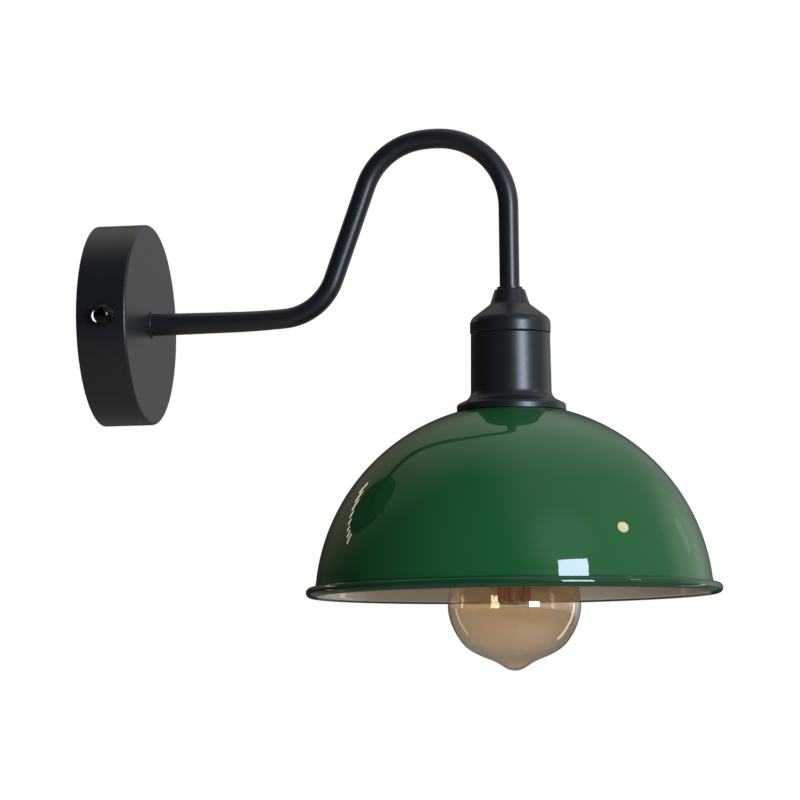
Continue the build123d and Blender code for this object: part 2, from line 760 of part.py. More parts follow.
def shade_ring():
    """Threaded ring that clamps the shade up against the flange, notched round its edge for grip."""
    seat_z = shade_seat_z - shade_wall
    outline = Polyline(
        (ring_bore_r, seat_z),
        (ring_flange_r, seat_z),
        (ring_flange_r, seat_z - ring_flange_height),
        (ring_body_r, seat_z - ring_flange_height - ring_slope),
        (ring_body_r, seat_z - ring_height),
        (ring_bore_r, seat_z - ring_height),
        close=True,
    )
    ring = spin(outline)
    notch = Pos(notch_centre_r, 0, 0) * standing_cylinder(notch_r, seat_z - 2 * ring_height, seat_z + notch_r)
    notches = [Rot(0, 0, 360 / ring_notches * step) * notch for step in range(ring_notches)]
    return HEAD * (ring - notches)


# ---- bulb ------------------------------------------------------------------------

contact_r = 4.8
contact_height = 1.2
contact_edge_r = 0.9
neck_glass_r = 12.4
NECK = [(neck_glass_r, bulb_cap_foot_z + 3.0), (neck_glass_r + 0.9, bulb_cap_foot_z - 6.0)]
FLANK = (22.0, -96.0)
BELLY = [(29.5, -155.3), (21.9, -165.0), (12.4, -169.6), (5.6, -173.3)]


def bulb_outline():
    """Half section of the envelope's outside, from the neck to the pinched tip."""
    widest = (bulb_max_r, bulb_max_z)
    flank = Spline(*NECK, FLANK, widest, tangents=[(0, -1), (0, -1)])
    lower = Spline(widest, *BELLY, (0, bulb_tip_z), tangents=[(0, -1), (-1, 0)])
    return flank, lower


def bulb_glass():
    """Blown envelope, open at the neck, with a small drawn tip below."""
    flank, lower = bulb_outline()
    line = Wire(flank.edges() + lower.edges())
    neck = line @ 0
    tip = line @ 1
    solid = spin(line, Line(tip, (0, neck.Y)), Line((0, neck.Y), neck))
    mouth = solid.faces().sort_by(Axis.Z)[-1]
    return HEAD * offset(solid, amount=-glass_wall, openings=mouth, kind=Kind.INTERSECTION)


cap_wall = 0.3
cap_lip_r = 11.6            # the metal is turned in this far over the black glass
cap_lip_rise = 0.2
cap_corner_r = 12.6
cap_corner_height = 2.0
cap_lip_bend_r = 0.3
cap_corner_bend_r = 0.5
insulator_bore_r = 2.2
insulator_top_r = 5.4
insulator_r = 11.3
insulator_depth = 1.0


def bulb_screw_cap():
    """Metal cap that screws into the shell, cemented round the glass neck."""
    line = FilletPolyline(
        (cap_lip_r, bulb_cap_top_z + cap_lip_rise),
        (cap_corner_r, bulb_cap_top_z - cap_lip_rise),
        (cap_thread_r, bulb_cap_top_z - cap_corner_height),
        (cap_thread_r, bulb_cap_foot_z),
        radius=[cap_lip_bend_r, cap_corner_bend_r],
    )
    return HEAD * spun_sheet(line, cap_wall, Side.RIGHT)


def bulb_insulator():
    """Black glass cone between the cap and its centre contact."""
    high = bulb_top_z - contact_height
    low = bulb_cap_top_z - insulator_depth
    outline = Polyline(
        (insulator_bore_r, high),
        (insulator_top_r, high),
        (insulator_r, bulb_cap_top_z + cap_lip_rise),
        (insulator_r, low),
        (insulator_bore_r, low),
        close=True,
    )
    return HEAD * spin(outline)


def bulb_contact():
    """Round soldered contact at the very end of the cap."""
    disc = standing_cylinder(contact_r, bulb_top_z - contact_height, bulb_top_z)
    disc = fillet(disc.edges().filter_by(GeomType.CIRCLE).sort_by(Axis.Z)[-1], contact_edge_r)
    return HEAD * disc


board_r = 8.0
board_wall = 1.0
board_foot_z = -45.0
capacitor_r = 4.0
capacitor_length = 11.0
capacitor_edge_r = 0.5


def driver_board():
    """Small round board in the cap that feeds the filaments."""
    return HEAD * standing_cylinder(board_r, board_foot_z, board_foot_z + board_wall)


def driver_capacitor():
    can = standing_cylinder(capacitor_r, board_foot_z - capacitor_length, board_foot_z)
    can = fillet(can.edges().filter_by(GeomType.CIRCLE), capacitor_edge_r)
    return HEAD * can


stem_r = 3.2
stem_top_r = 11.4
stem_top_z = -62.0
stem_flare = 2.0            # the tube is this much wider half-way down its flare
stem_flare_z = -71.0
stem_straight_z = -82.0
stem_pinch_z = -97.0
pinch_height = 2.5
rod_r = 1.3
rod_foot_z = -143.8
lead_r = 2.0
lead_seal_depth = 4.0
filament_top_z = -103.0
filament_foot_z = -141.5
filament_r = 1.05
filament_end = 0.3
filament_ring_r = 7.2
filament_count = 6
lead_wire_r = 0.35
spoke_wire_r = 0.3
spoke_gap = 1.2             # from a stick's end to the ring or star that holds it
lead_arc_deg = 2 * 360 / filament_count
lead_arc_over_deg = 4.0     # each third of a ring runs on past its last sticks
star_collar_wall = 0.7
star_collar_height = 1.0
star_spoke_gap = 0.2


def filament_stations():
    first = 180 / filament_count
    return [math.radians(first + 360 / filament_count * step) for step in range(filament_count)]


def lead_angles():
    """The middle stick of each half feeds from its own lead wire."""
    stations = filament_stations()
    return [stations[1], stations[1 + filament_count // 2]]


def bulb_stem():
    """Glass stem sealed in the neck: flare, tube, flattened pinch and a long centre rod."""
    top = (stem_top_r, stem_top_z)
    foot = (stem_r, stem_straight_z)
    flare = Spline(top, (stem_r + stem_flare, stem_flare_z), foot, tangents=[(0, -1), (0, -1)])
    pinch = (stem_r, stem_pinch_z)
    rod_top = (rod_r, stem_pinch_z - pinch_height)
    rod_foot = (rod_r, rod_foot_z)
    rest = Polyline(foot, pinch, rod_top, rod_foot, (0, rod_foot_z), (0, stem_top_z), top)
    stem = spin(flare, rest)
    seal = standing_cylinder(lead_wire_r, filament_top_z, stem_pinch_z + lead_seal_depth)
    for angle in lead_angles():
        stem -= Pos(lead_r * math.cos(angle), lead_r * math.sin(angle), 0) * seal
    return HEAD * stem


def led_filaments():
    """Six straight coated sticks standing in a ring round the glass rod."""
    sticks = []
    for angle in filament_stations():
        stick = standing_cylinder(filament_r, filament_foot_z, filament_top_z)
        stick = chamfer(stick.edges().filter_by(GeomType.CIRCLE), filament_end)
        place = Pos(filament_ring_r * math.cos(angle), filament_ring_r * math.sin(angle), 0)
        sticks.append(HEAD * place * stick)
    return Compound(sticks)


def spoke(height, inner_r, outer_r, angle):
    length = outer_r - inner_r
    bar = Pos((inner_r + outer_r) / 2, 0, height) * Rot(0, 90, 0) * Cylinder(spoke_wire_r, length)
    return Rot(0, 0, math.degrees(angle)) * bar


def post(radius, angle, low, high):
    place = Pos(radius * math.cos(angle), radius * math.sin(angle), 0)
    return place * standing_cylinder(spoke_wire_r, low, high)


def filament_star():
    """Wire star under the sticks, held by a collar on the foot of the glass rod."""
    height = filament_foot_z - spoke_gap
    half = star_collar_height / 2
    collar = standing_cylinder(rod_r + star_collar_wall, height - half, height + half)
    star = collar - standing_cylinder(rod_r, height - 2 * half, height + 2 * half)
    for angle in filament_stations():
        star += spoke(height, rod_r + star_spoke_gap, filament_ring_r + 2 * spoke_wire_r, angle)
        star += post(filament_ring_r, angle, height, filament_foot_z)
    return HEAD * star


def lead_wires():
    """Two lead-in wires, each feeding a third of a ring that carries three sticks."""
    height = filament_top_z + spoke_gap
    riser = standing_cylinder(lead_wire_r, height, stem_pinch_z + lead_seal_depth)
    wires = []
    for angle in lead_angles():
        section = Pos(filament_ring_r, 0, height) * Rot(90, 0, 0) * Circle(lead_wire_r)
        ring = revolve(section, Axis.Z, lead_arc_deg + 2 * lead_arc_over_deg)
        ring = Rot(0, 0, math.degrees(angle) - lead_arc_deg / 2 - lead_arc_over_deg) * ring
        ring += spoke(height, lead_r - 2 * spoke_wire_r, filament_ring_r, angle)
        ring += Pos(lead_r * math.cos(angle), lead_r * math.sin(angle), 0) * riser
        for step in (-1, 0, 1):
            station = angle + math.radians(step * lead_arc_deg / 2)
            ring += post(filament_ring_r, station, filament_top_z, height)
        wires.append(HEAD * ring)
    return Compound(wires)


# ---- wires ---------------------------------------------------------------------

wire_side = 1.35            # each lamp wire's distance from the arm's centreline
wire_level = strap_wall + pole_height
wire_entry_x = block_x - block_length / 2 + 2.0
tail_straight = 7.0
tail_bends = [3.5, 3.2]
drop_straight = 4.0
drop_bends = [3.0, 5.0]
wire_over_body = 1.0        # the wire leans over until it is this far under the ceramic's top
wire_lift = 3.0             # and ends this far above the pocket's floor
earth_straight = 3.0
earth_dive_x = 4.4
earth_turn_x = -4.0
earth_bend_r = 3.0
earth_grip = 1.0            # the wire ends this far from the barrel's end


def swept_wire(*stretches):
    """Sweep the conductor's round section along stretches laid end to end, and print its length."""
    path = Wire([edge for stretch in stretches for edge in stretch.edges()])
    start = Plane(origin=path @ 0, z_dir=path % 0)
    solid = sweep(start * Circle(wire_d / 2), path=path)
    plain_volume = math.pi * wire_d**2 / 4 * path.length
    print(f"wire length {path.length:.1f} mm, volume over section x length {solid.volume / plain_volume:.4f}")
    return solid


def lamp_wire(side):
    """One insulated conductor from the terminal block, through the arm, to the lampholder."""
    x = side * wire_side
    pole = side * block_pitch
    tail = FilletPolyline(
        (wire_entry_x, -wire_level, pole),
        (wire_entry_x - tail_straight, -wire_level, pole),
        (x, -wire_level, 0),
        (x, -arm_inner_end, 0),
        radius=tail_bends,
    )
    middle = arm_line(x=x)
    terminal = -arm_reach + side * terminal_y
    drop = FilletPolyline(
        (x, -arm_reach, arm_drop_end_z),
        (x, -arm_reach, arm_drop_end_z - drop_straight),
        (0, terminal, socket_top_z - wire_over_body),
        (0, terminal, socket_floor_top_z + wire_lift),
        radius=drop_bends,
    )
    return swept_wire(tail, middle, drop)


def live_wire():
    return lamp_wire(1)


def neutral_wire():
    return lamp_wire(-1)


def earth_wire():
    """Short earth lead that ducks under the lamp wires to the ring tag on the bracket."""
    tag_level = strap_wall + barrel_r
    line = FilletPolyline(
        (wire_entry_x, -wire_level, 0),
        (wire_entry_x - earth_straight, -wire_level, 0),
        (earth_dive_x, -tag_level, 0),
        (earth_turn_x, -tag_level, earth_screw_up),
        (earth_screw_x + barrel_start + earth_grip, -tag_level, earth_screw_up),
        radius=earth_bend_r,
    )
    return swept_wire(line)


NODES = {
    "wall_bracket": wall_bracket,
    "ball_head_screws": ball_head_screws,
    "canopy": canopy,
    "earth_screw": earth_screw,
    "earth_washer": earth_washer,
    "earth_tag": earth_tag,
    "earth_wire": earth_wire,
    "terminal_block": terminal_block,
    "terminal_tubes": terminal_tubes,
    "terminal_screws": terminal_screws,
    "block_screw": block_screw,
    "arm_tube": arm_tube,
    "arm_collar": arm_collar,
    "arm_star_washer": arm_star_washer,
    "arm_nut": arm_nut,
    "live_wire": live_wire,
    "neutral_wire": neutral_wire,
    "neck_ring": neck_ring,
    "cover_cap": cover_cap,
    "cover_shell": cover_shell,
    "coupler": coupler,
    "socket_saddle": socket_saddle,
    "saddle_nut": saddle_nut,
    "saddle_screws": saddle_screws,
    "socket_body": socket_body,
    "socket_terminals": socket_terminals,
    "socket_terminal_screws": socket_terminal_screws,
    "centre_contact": centre_contact,
    "screw_shell": screw_shell,
    "shade": shade,
    "shade_ring": shade_ring,
    "bulb_contact": bulb_contact,
    "bulb_insulator": bulb_insulator,
    "bulb_screw_cap": bulb_screw_cap,
    "bulb_glass": bulb_glass,
    "bulb_stem": bulb_stem,
    "driver_board": driver_board,
    "driver_capacitor": driver_capacitor,
    "lead_wires": lead_wires,
    "led_filaments": led_filaments,
    "filament_star": filament_star,
}


def main():
    os.makedirs("parts", exist_ok=True)
    for name, build_piece in NODES.items():
        piece = build_piece()
        export_step(piece, os.path.join("parts", name + ".step"))
        print(name)


if __name__ == "__main__":
    main()
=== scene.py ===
# %% [markdown]
# # A gooseneck wall lamp with a green enamel shade
# The solid model of the lamp is a fixed frame: every piece in it already has its true size
# and place, in metres, with the wall at Y = 0 and the lamp standing out along -Y.
# This lesson dresses that frame: it makes finishes out of shader nodes, winds the screw
# threads with Geometry Nodes, spins the bowl and blows the bulb, and lights the result.

import json
import math

import bmesh
import bpy
from mathutils import Matrix, Vector
from mathutils.geometry import interpolate_bezier


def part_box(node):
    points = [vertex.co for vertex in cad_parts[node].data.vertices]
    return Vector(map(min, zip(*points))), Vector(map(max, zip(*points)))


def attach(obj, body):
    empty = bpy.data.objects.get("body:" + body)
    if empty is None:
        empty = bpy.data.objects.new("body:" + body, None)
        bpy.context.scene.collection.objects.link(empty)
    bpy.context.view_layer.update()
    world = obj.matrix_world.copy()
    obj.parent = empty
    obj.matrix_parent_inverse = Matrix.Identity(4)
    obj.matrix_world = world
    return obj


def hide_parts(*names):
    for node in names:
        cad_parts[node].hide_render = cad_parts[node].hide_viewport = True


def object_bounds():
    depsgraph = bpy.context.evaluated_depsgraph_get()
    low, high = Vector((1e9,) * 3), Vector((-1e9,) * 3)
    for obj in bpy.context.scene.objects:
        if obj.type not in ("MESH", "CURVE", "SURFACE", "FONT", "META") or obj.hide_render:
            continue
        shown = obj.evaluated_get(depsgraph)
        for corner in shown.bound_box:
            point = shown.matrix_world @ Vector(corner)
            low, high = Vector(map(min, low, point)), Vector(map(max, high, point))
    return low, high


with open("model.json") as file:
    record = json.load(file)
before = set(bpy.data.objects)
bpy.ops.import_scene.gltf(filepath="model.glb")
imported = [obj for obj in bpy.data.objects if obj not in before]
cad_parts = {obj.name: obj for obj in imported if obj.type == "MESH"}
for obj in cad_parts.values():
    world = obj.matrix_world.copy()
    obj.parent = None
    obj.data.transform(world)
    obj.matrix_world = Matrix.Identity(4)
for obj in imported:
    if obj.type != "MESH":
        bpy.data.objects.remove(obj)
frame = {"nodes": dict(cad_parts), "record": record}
cad_low, cad_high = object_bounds()
NODES = frame["nodes"]
MM = 0.001
print("frame size in mm:", [round((high - low) / MM, 1) for low, high in zip(cad_low, cad_high)])

# %% [markdown]
# ## Measures taken from the frame
# A dressed piece has to sit where the solid one is, so the few places that are needed are
# read from the frame. Typing them again would work too, until somebody changes the model.

# %% Places read from the frame
def middle(node):
    low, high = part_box(node)
    return (low + high) / 2


LAMP_AXIS = middle("shade")          # its X and Y are those of the lampholder's axis
CENTRE = (cad_low + cad_high) / 2
print("lamp axis stands", round(-LAMP_AXIS.y / MM, 2), "mm out from the wall")

# %% [markdown]
# ## The camera
# The picture was taken from the lamp's side, a little below it and a little in front,
# with a long lens from about two metres. A long lens keeps the canopy and the shade in
# nearly the same scale. Three angles would place the camera too, but three directions say
# plainly what is right, up and toward the viewer in the picture, and keep its slight tilt.

# %% Camera
IMAGE_SIDE = 800                     # pixels, the picture is square
FOCAL_PIXELS = 4064.9                # focal length counted in those pixels
CAMERA_PLACE = Vector((-1.95325, -0.54183, -0.22066))
LOOK_RIGHT = Vector((0.197366, -0.980251, -0.012641))
LOOK_UP = Vector((-0.085422, -0.030044, 0.995893))


def make_camera():
    """A camera with the picture's place, direction, tilt and lens."""
    data = bpy.data.cameras.new("picture_camera")
    data.sensor_width = 36.0
    data.lens = FOCAL_PIXELS / IMAGE_SIDE * data.sensor_width
    data.clip_start = 0.05
    data.clip_end = 60.0
    camera = bpy.data.objects.new("picture_camera", data)
    bpy.context.scene.collection.objects.link(camera)
    right = LOOK_RIGHT.normalized()
    back = right.cross(LOOK_UP).normalized()
    up = back.cross(right)
    turned = Matrix((right, up, back)).transposed().to_4x4()
    camera.matrix_world = Matrix.Translation(CAMERA_PLACE) @ turned
    bpy.context.scene.camera = camera
    return right, up, back


RIGHT, UP, TOWARD = make_camera()
print("lens in mm:", round(bpy.context.scene.camera.data.lens, 1))

# %% [markdown]
# ## Two small helpers for materials
# A finish is a tree of shader nodes. One function turns a paint-chart hex value into the
# linear colour that a shader wants, and one adds a node with its settings and its links,
# so each finish below reads as a short list of what lies on what.

# %% Material helpers
MATH = "ShaderNodeMath"              # one step of reckoning


def colour(text, alpha=1.0):
    """A hex value such as 1F5A34, as linear red, green, blue and alpha."""
    parts = [int(text[i:i + 2], 16) / 255 for i in (0, 2, 4)]
    linear = [p / 12.92 if p <= 0.04045 else ((p + 0.055) / 1.055) ** 2.4 for p in parts]
    return (*linear, alpha)


def add(tree, kind, settings=None, **inputs):
    """Add a node. An input is a value, or the socket of another node, which is linked to it.
    An input's name has underscores for spaces, or is in0, in1 ... for its place in the list."""
    node = tree.nodes.new(kind)
    for name, value in (settings or {}).items():
        setattr(node, name, value)
    for name, value in inputs.items():
        by_place = name[:2] == "in" and name[2:].isdigit()
        socket = node.inputs[int(name[2:])] if by_place else node.inputs[name.replace("_", " ")]
        if isinstance(value, bpy.types.NodeSocket):
            tree.links.new(value, socket)
        else:
            socket.default_value = value
    return node


def new_material(name):
    """An empty node material, and its tree."""
    material = bpy.data.materials.new(name)
    material.use_nodes = True
    material.node_tree.nodes.clear()
    return material, material.node_tree


def per_mm(size_mm):
    """The texture scale whose pattern repeats about once in size_mm, for metres."""
    return 1.0 / (size_mm * MM)


print("helpers ready; black is", [round(v, 4) for v in colour("17191C")[:3]])

# %% [markdown]
# ## Powder-coated steel
# The canopy, the arm and the lampholder's cover are steel with a satin black polyester
# powder, sprayed dry and baked. The powder melts into a skin that is never quite flat: it
# keeps a soft "orange peel" a few millimetres long and a finer grain, which spread a lamp's
# reflection into a broad soft streak. One bump from an image would do, but two noises, one
# bump over the other, need no picture and keep their size in millimetres on every piece.

# %% Powder coat
PEEL_MM = 2.6
COAT_GRAIN_MM = 0.55
COAT_CLOUD_MM = 30.0                 # slow drift of the colour


def powder_coat():
    material, tree = new_material("black_powder_coat")
    place = add(tree, "ShaderNodeTexCoord").outputs["Object"]
    peel = add(tree, "ShaderNodeTexNoise", Vector=place, Scale=per_mm(PEEL_MM), Detail=1.0)
    grain = add(tree, "ShaderNodeTexNoise", Vector=place, Scale=per_mm(COAT_GRAIN_MM), Detail=2.0)
    cloud = add(tree, "ShaderNodeTexNoise", Vector=place, Scale=per_mm(COAT_CLOUD_MM), Detail=3.0)
    rough = add(tree, "ShaderNodeMapRange", Value=grain.outputs["Fac"],
                From_Min=0.3, From_Max=0.7, To_Min=0.32, To_Max=0.38)
    tint = add(tree, "ShaderNodeMix", {"data_type": "RGBA"}, Factor=cloud.outputs["Fac"],
               in6=colour("121518"), in7=colour("171A1E"))
    soft = add(tree, "ShaderNodeBump", Strength=0.12, Distance=0.12 * MM, Height=peel.outputs["Fac"])
    fine = add(tree, "ShaderNodeBump", Strength=0.10, Distance=0.03 * MM, Height=grain.outputs["Fac"],
               Normal=soft.outputs["Normal"])
    shader = add(tree, "ShaderNodeBsdfPrincipled", Base_Color=tint.outputs[2],
                 Roughness=rough.outputs["Result"], Normal=fine.outputs["Normal"], IOR=1.5)
    add(tree, "ShaderNodeOutputMaterial", Surface=shader.outputs[0])
    return material


POWDER = powder_coat()
print("made", POWDER.name)

# %% [markdown]
# ## Vitreous enamel on the shade
# The bowl is spun steel dipped in glass powder and fired: green outside, off-white inside.
# The two colours meet on the inner side of the rolled edge. Enamel is a coloured ground
# under clear glass: the base is dull and has no gloss of its own, and the coat has it all,
# which keeps the green deep beside a crisp reflection. Two materials would need a seam in
# the mesh, so one is used, and the side is told from the surface's own direction: a face
# that looks away from the bowl's centre is outside.

# %% Enamel
BOWL_Z = -142.3                      # height of the bowl's centre, in mm
BEAD_R = 99.085                      # the rolled edge's centre: radius and height
BEAD_Z = -136.3
BOWL_CENTRE = Vector((LAMP_AXIS.x, LAMP_AXIS.y, BOWL_Z * MM))
BEAD_CENTRE = Vector((BEAD_R * MM, BEAD_Z * MM, 0))
BEAD_REACH = 2.8 * MM
BEAD_CREST_R = 98.0 * MM             # the colours meet here on top of the bead,
BEAD_CREST_Z = -137.9 * MM           # and here below it
RIM_TOP = -133.8 * MM
POOL_HEIGHT = 1.2 * MM               # the glass pools, darker, this far above the edge
ENAMEL_WAVE_MM = 14.0                # the fired glass is never quite flat
ENAMEL_CLOUD_MM = 40.0


def enamel():
    material, tree = new_material("green_enamel")
    place = add(tree, "ShaderNodeTexCoord").outputs["Object"]
    normal = add(tree, "ShaderNodeNewGeometry").outputs["True Normal"]
    spoke = add(tree, "ShaderNodeVectorMath", {"operation": "SUBTRACT"}, in0=place, in1=BOWL_CENTRE)
    facing = add(tree, "ShaderNodeVectorMath", {"operation": "DOT_PRODUCT"},
                 in0=spoke.outputs[0], in1=normal).outputs["Value"]
    outer = add(tree, MATH, {"operation": "GREATER_THAN"}, in0=facing, in1=0.0)
    height = add(tree, "ShaderNodeSeparateXYZ", Vector=place).outputs["Z"]
    flat = add(tree, "ShaderNodeVectorMath", {"operation": "MULTIPLY"}, in0=spoke.outputs[0],
               in1=(1, 1, 0))
    radius = add(tree, "ShaderNodeVectorMath", {"operation": "LENGTH"},
                 in0=flat.outputs[0]).outputs["Value"]
    section = add(tree, "ShaderNodeCombineXYZ", X=radius, Y=height)
    off_bead = add(tree, "ShaderNodeVectorMath", {"operation": "DISTANCE"}, in0=section.outputs[0],
                   in1=BEAD_CENTRE).outputs["Value"]
    bead = add(tree, MATH, {"operation": "LESS_THAN"}, in0=off_bead, in1=BEAD_REACH)
    beyond = add(tree, MATH, {"operation": "GREATER_THAN"}, in0=radius, in1=BEAD_CREST_R)
    under = add(tree, MATH, {"operation": "LESS_THAN"}, in0=height, in1=BEAD_CREST_Z)
    crest = add(tree, MATH, {"operation": "MAXIMUM"}, in0=beyond.outputs[0],
                in1=under.outputs[0])
    dipped = add(tree, MATH, {"operation": "MULTIPLY"}, in0=bead.outputs[0],
                 in1=crest.outputs[0])
    outside = add(tree, MATH, {"operation": "MAXIMUM"}, in0=outer.outputs[0],
                  in1=dipped.outputs[0])
    wave = add(tree, "ShaderNodeTexNoise", Vector=place, Scale=per_mm(ENAMEL_WAVE_MM), Detail=1.0)
    cloud = add(tree, "ShaderNodeTexNoise", Vector=place, Scale=per_mm(ENAMEL_CLOUD_MM), Detail=2.0)
    green = add(tree, "ShaderNodeMix", {"data_type": "RGBA"}, Factor=cloud.outputs["Fac"],
                in6=colour("1A5029"), in7=colour("1E582E"))
    pooled = add(tree, "ShaderNodeMapRange", Value=height, From_Min=RIM_TOP,
                 From_Max=RIM_TOP + POOL_HEIGHT, To_Min=1.0, To_Max=0.0)
    green_edge = add(tree, "ShaderNodeMix", {"data_type": "RGBA"}, Factor=pooled.outputs["Result"],
                     in6=green.outputs[2], in7=colour("123F24"))
    white = add(tree, "ShaderNodeMix", {"data_type": "RGBA"}, Factor=cloud.outputs["Fac"],
                in6=colour("DDD0BD"), in7=colour("E7DCCB"))
    ground = add(tree, "ShaderNodeMix", {"data_type": "RGBA"}, Factor=outside.outputs[0],
                 in6=white.outputs[2], in7=green_edge.outputs[2])
    ripple = add(tree, "ShaderNodeBump", Strength=0.06, Distance=0.4 * MM, Height=wave.outputs["Fac"])
    shader = add(tree, "ShaderNodeBsdfPrincipled", Base_Color=ground.outputs[2], Roughness=0.6,
                 Specular_IOR_Level=0.0, Coat_Weight=1.0, Coat_Roughness=0.03, Coat_IOR=1.5, IOR=1.5,
                 Normal=ripple.outputs["Normal"], Coat_Normal=ripple.outputs["Normal"])
    add(tree, "ShaderNodeOutputMaterial", Surface=shader.outputs[0])
    return material


ENAMEL = enamel()
print("made", ENAMEL.name)

# %% [markdown]
# ## Plain finishes
# The small pieces are bought parts: zinc-plated steel, turned brass, nickel plate, moulded
# nylon and phenolic, glazed ceramic, silicone-covered wire. A tree for each would be a lot
# of the same, so they share one recipe, a base colour that drifts a little, a roughness
# that drifts with it and a fine bump, with other numbers for each: two hex colours, the
# span of roughness, the grain and its depth in millimetres, and 1.0 where it is a metal.

# %% Plain finishes
CLOUD_PER_GRAIN = 9                  # the drift is this much larger than the grain


def plain_finish(name, dark, light, rough, grain_mm, depth_mm, metallic=0.0, **more):
    """A finish with two close colours, a span of roughness and one fine bump."""
    material, tree = new_material(name)
    place = add(tree, "ShaderNodeTexCoord").outputs["Object"]
    grain = add(tree, "ShaderNodeTexNoise", Vector=place, Scale=per_mm(grain_mm), Detail=3.0)
    cloud = add(tree, "ShaderNodeTexNoise", Vector=place, Scale=per_mm(grain_mm * CLOUD_PER_GRAIN),
                Detail=2.0)
    tint = add(tree, "ShaderNodeMix", {"data_type": "RGBA"}, Factor=cloud.outputs["Fac"],
               in6=colour(dark), in7=colour(light))
    span = add(tree, "ShaderNodeMapRange", Value=cloud.outputs["Fac"], From_Min=0.3, From_Max=0.7,
               To_Min=rough[0], To_Max=rough[1])
    bump = add(tree, "ShaderNodeBump", Strength=0.3, Distance=depth_mm * MM,
               Height=grain.outputs["Fac"])
    shader = add(tree, "ShaderNodeBsdfPrincipled", Base_Color=tint.outputs[2], Metallic=metallic,
                 Roughness=span.outputs["Result"], Normal=bump.outputs["Normal"], **more)
    add(tree, "ShaderNodeOutputMaterial", Surface=shader.outputs[0])
    return material


FINISHES = {
    "black_powder_coat": POWDER,
    "green_enamel": ENAMEL,
    # stoved lacquer: black all through, with small sharp highlights
    "black_gloss_knob": plain_finish("black_lacquer", "010101", "020202", (0.03, 0.06), 3.0, 0.002,
                                     Specular_IOR_Level=0.25),
    # bright zinc: a cool grey mirror, slightly frosted
    "zinc_plated_steel": plain_finish("bright_zinc", "A9ADB0", "C2C6C8", (0.22, 0.36), 0.6, 0.006, 1.0),
    # turned brass: warm yellow with a fine cut
    "brass_plain": plain_finish("turned_brass", "B8924A", "D0AA62", (0.20, 0.32), 0.5, 0.005, 1.0),
    # tinned copper: a pale metal, warmer than zinc
    "tinned_copper": plain_finish("tinned_copper", "B6B3AB", "C8C5BD", (0.25, 0.38), 0.5, 0.005, 1.0),
    # moulded nylon: a waxy white with a soft sheen
    "white_nylon": plain_finish("moulded_nylon", "D8D7CF", "E2E1DA", (0.42, 0.52), 0.5, 0.008),
    # silicone sleeving: smooth and dull, in the wiring colours
    "live_insulation": plain_finish("brown_silicone", "4E2A17", "5C331E", (0.38, 0.48), 0.8, 0.010),
    "neutral_insulation": plain_finish("blue_silicone", "1F5FA8", "2A6DB8", (0.38, 0.48), 0.8, 0.010),
    "earth_insulation": plain_finish("green_yellow_silicone", "5E9A2B", "6BA834", (0.38, 0.48), 0.8, 0.01),
    # steatite under a clear glaze: white with a wet gloss
    "glazed_ceramic": plain_finish("glazed_ceramic", "E4E1D8", "EEECE4", (0.08, 0.14), 2.5, 0.010,
                                   Coat_Weight=0.6),
    # nickel plate: a yellowish mirror
    "nickel_plated_brass": plain_finish("nickel_plate", "BDB8AE", "CFCBC2", (0.16, 0.26), 0.5, 0.004, 1.0),
    # phenolic moulding: a hard dark gloss
    "black_phenolic": plain_finish("black_phenolic", "141415", "1B1B1C", (0.22, 0.32), 0.8, 0.006),
    # a blob of solder: dull silver, uneven
    "solder": plain_finish("tinned_contact", "A3A5A6", "BDBFC0", (0.25, 0.42), 1.2, 0.020, 1.0),
    # fused black glass: near a mirror, in black
    "black_glass": plain_finish("contact_glass", "08080A", "0E0E12", (0.05, 0.10), 2.0, 0.006),
    # lacquered brass sheet: pale gold
    "gilt_cap_metal": plain_finish("gilt_cap", "B99A55", "CFB26C", (0.18, 0.28), 0.6, 0.005, 1.0),
    # glass-fibre board under green solder resist
    "circuit_board": plain_finish("circuit_board", "1C5A32", "236B3C", (0.30, 0.42), 1.0, 0.010),
    # shrunk plastic sleeve: dark and shiny
    "capacitor_sleeve": plain_finish("capacitor_sleeve", "14161F", "1B1E2A", (0.20, 0.30), 1.0, 0.006),
    # drawn nickel wire: dull grey metal
    "nickel_wire": plain_finish("nickel_wire", "8E8A80", "A39F95", (0.28, 0.40), 0.4, 0.004, 1.0),
    # silicone with phosphor powder: matt orange
    "orange_phosphor": plain_finish("orange_phosphor", "E07A2E", "EE9040", (0.40, 0.50), 0.9, 0.030),
}
print("made", len(FINISHES), "finishes")

# %% [markdown]
# ## Blown glass
# The bulb is blown soda-lime glass with an amber tint. Real glass takes its colour in its
# thickness, but the wall is thin and even, so tinting the light as it passes each surface
# gives the same look and renders with less noise. The tint drifts between gold and grey,
# and greys where the eye looks along the wall. A thin metallic lustre makes such bulbs
# shine more than clear glass, so a smooth coat with a higher index lies on the outside.

# %% Glass
GLASS_WAVE_MM = 18.0                 # mould-blown glass swells and dips gently,
GLASS_DIP_MM = 0.1                   # by this much
TINT_DRIFT_MM = 34.0


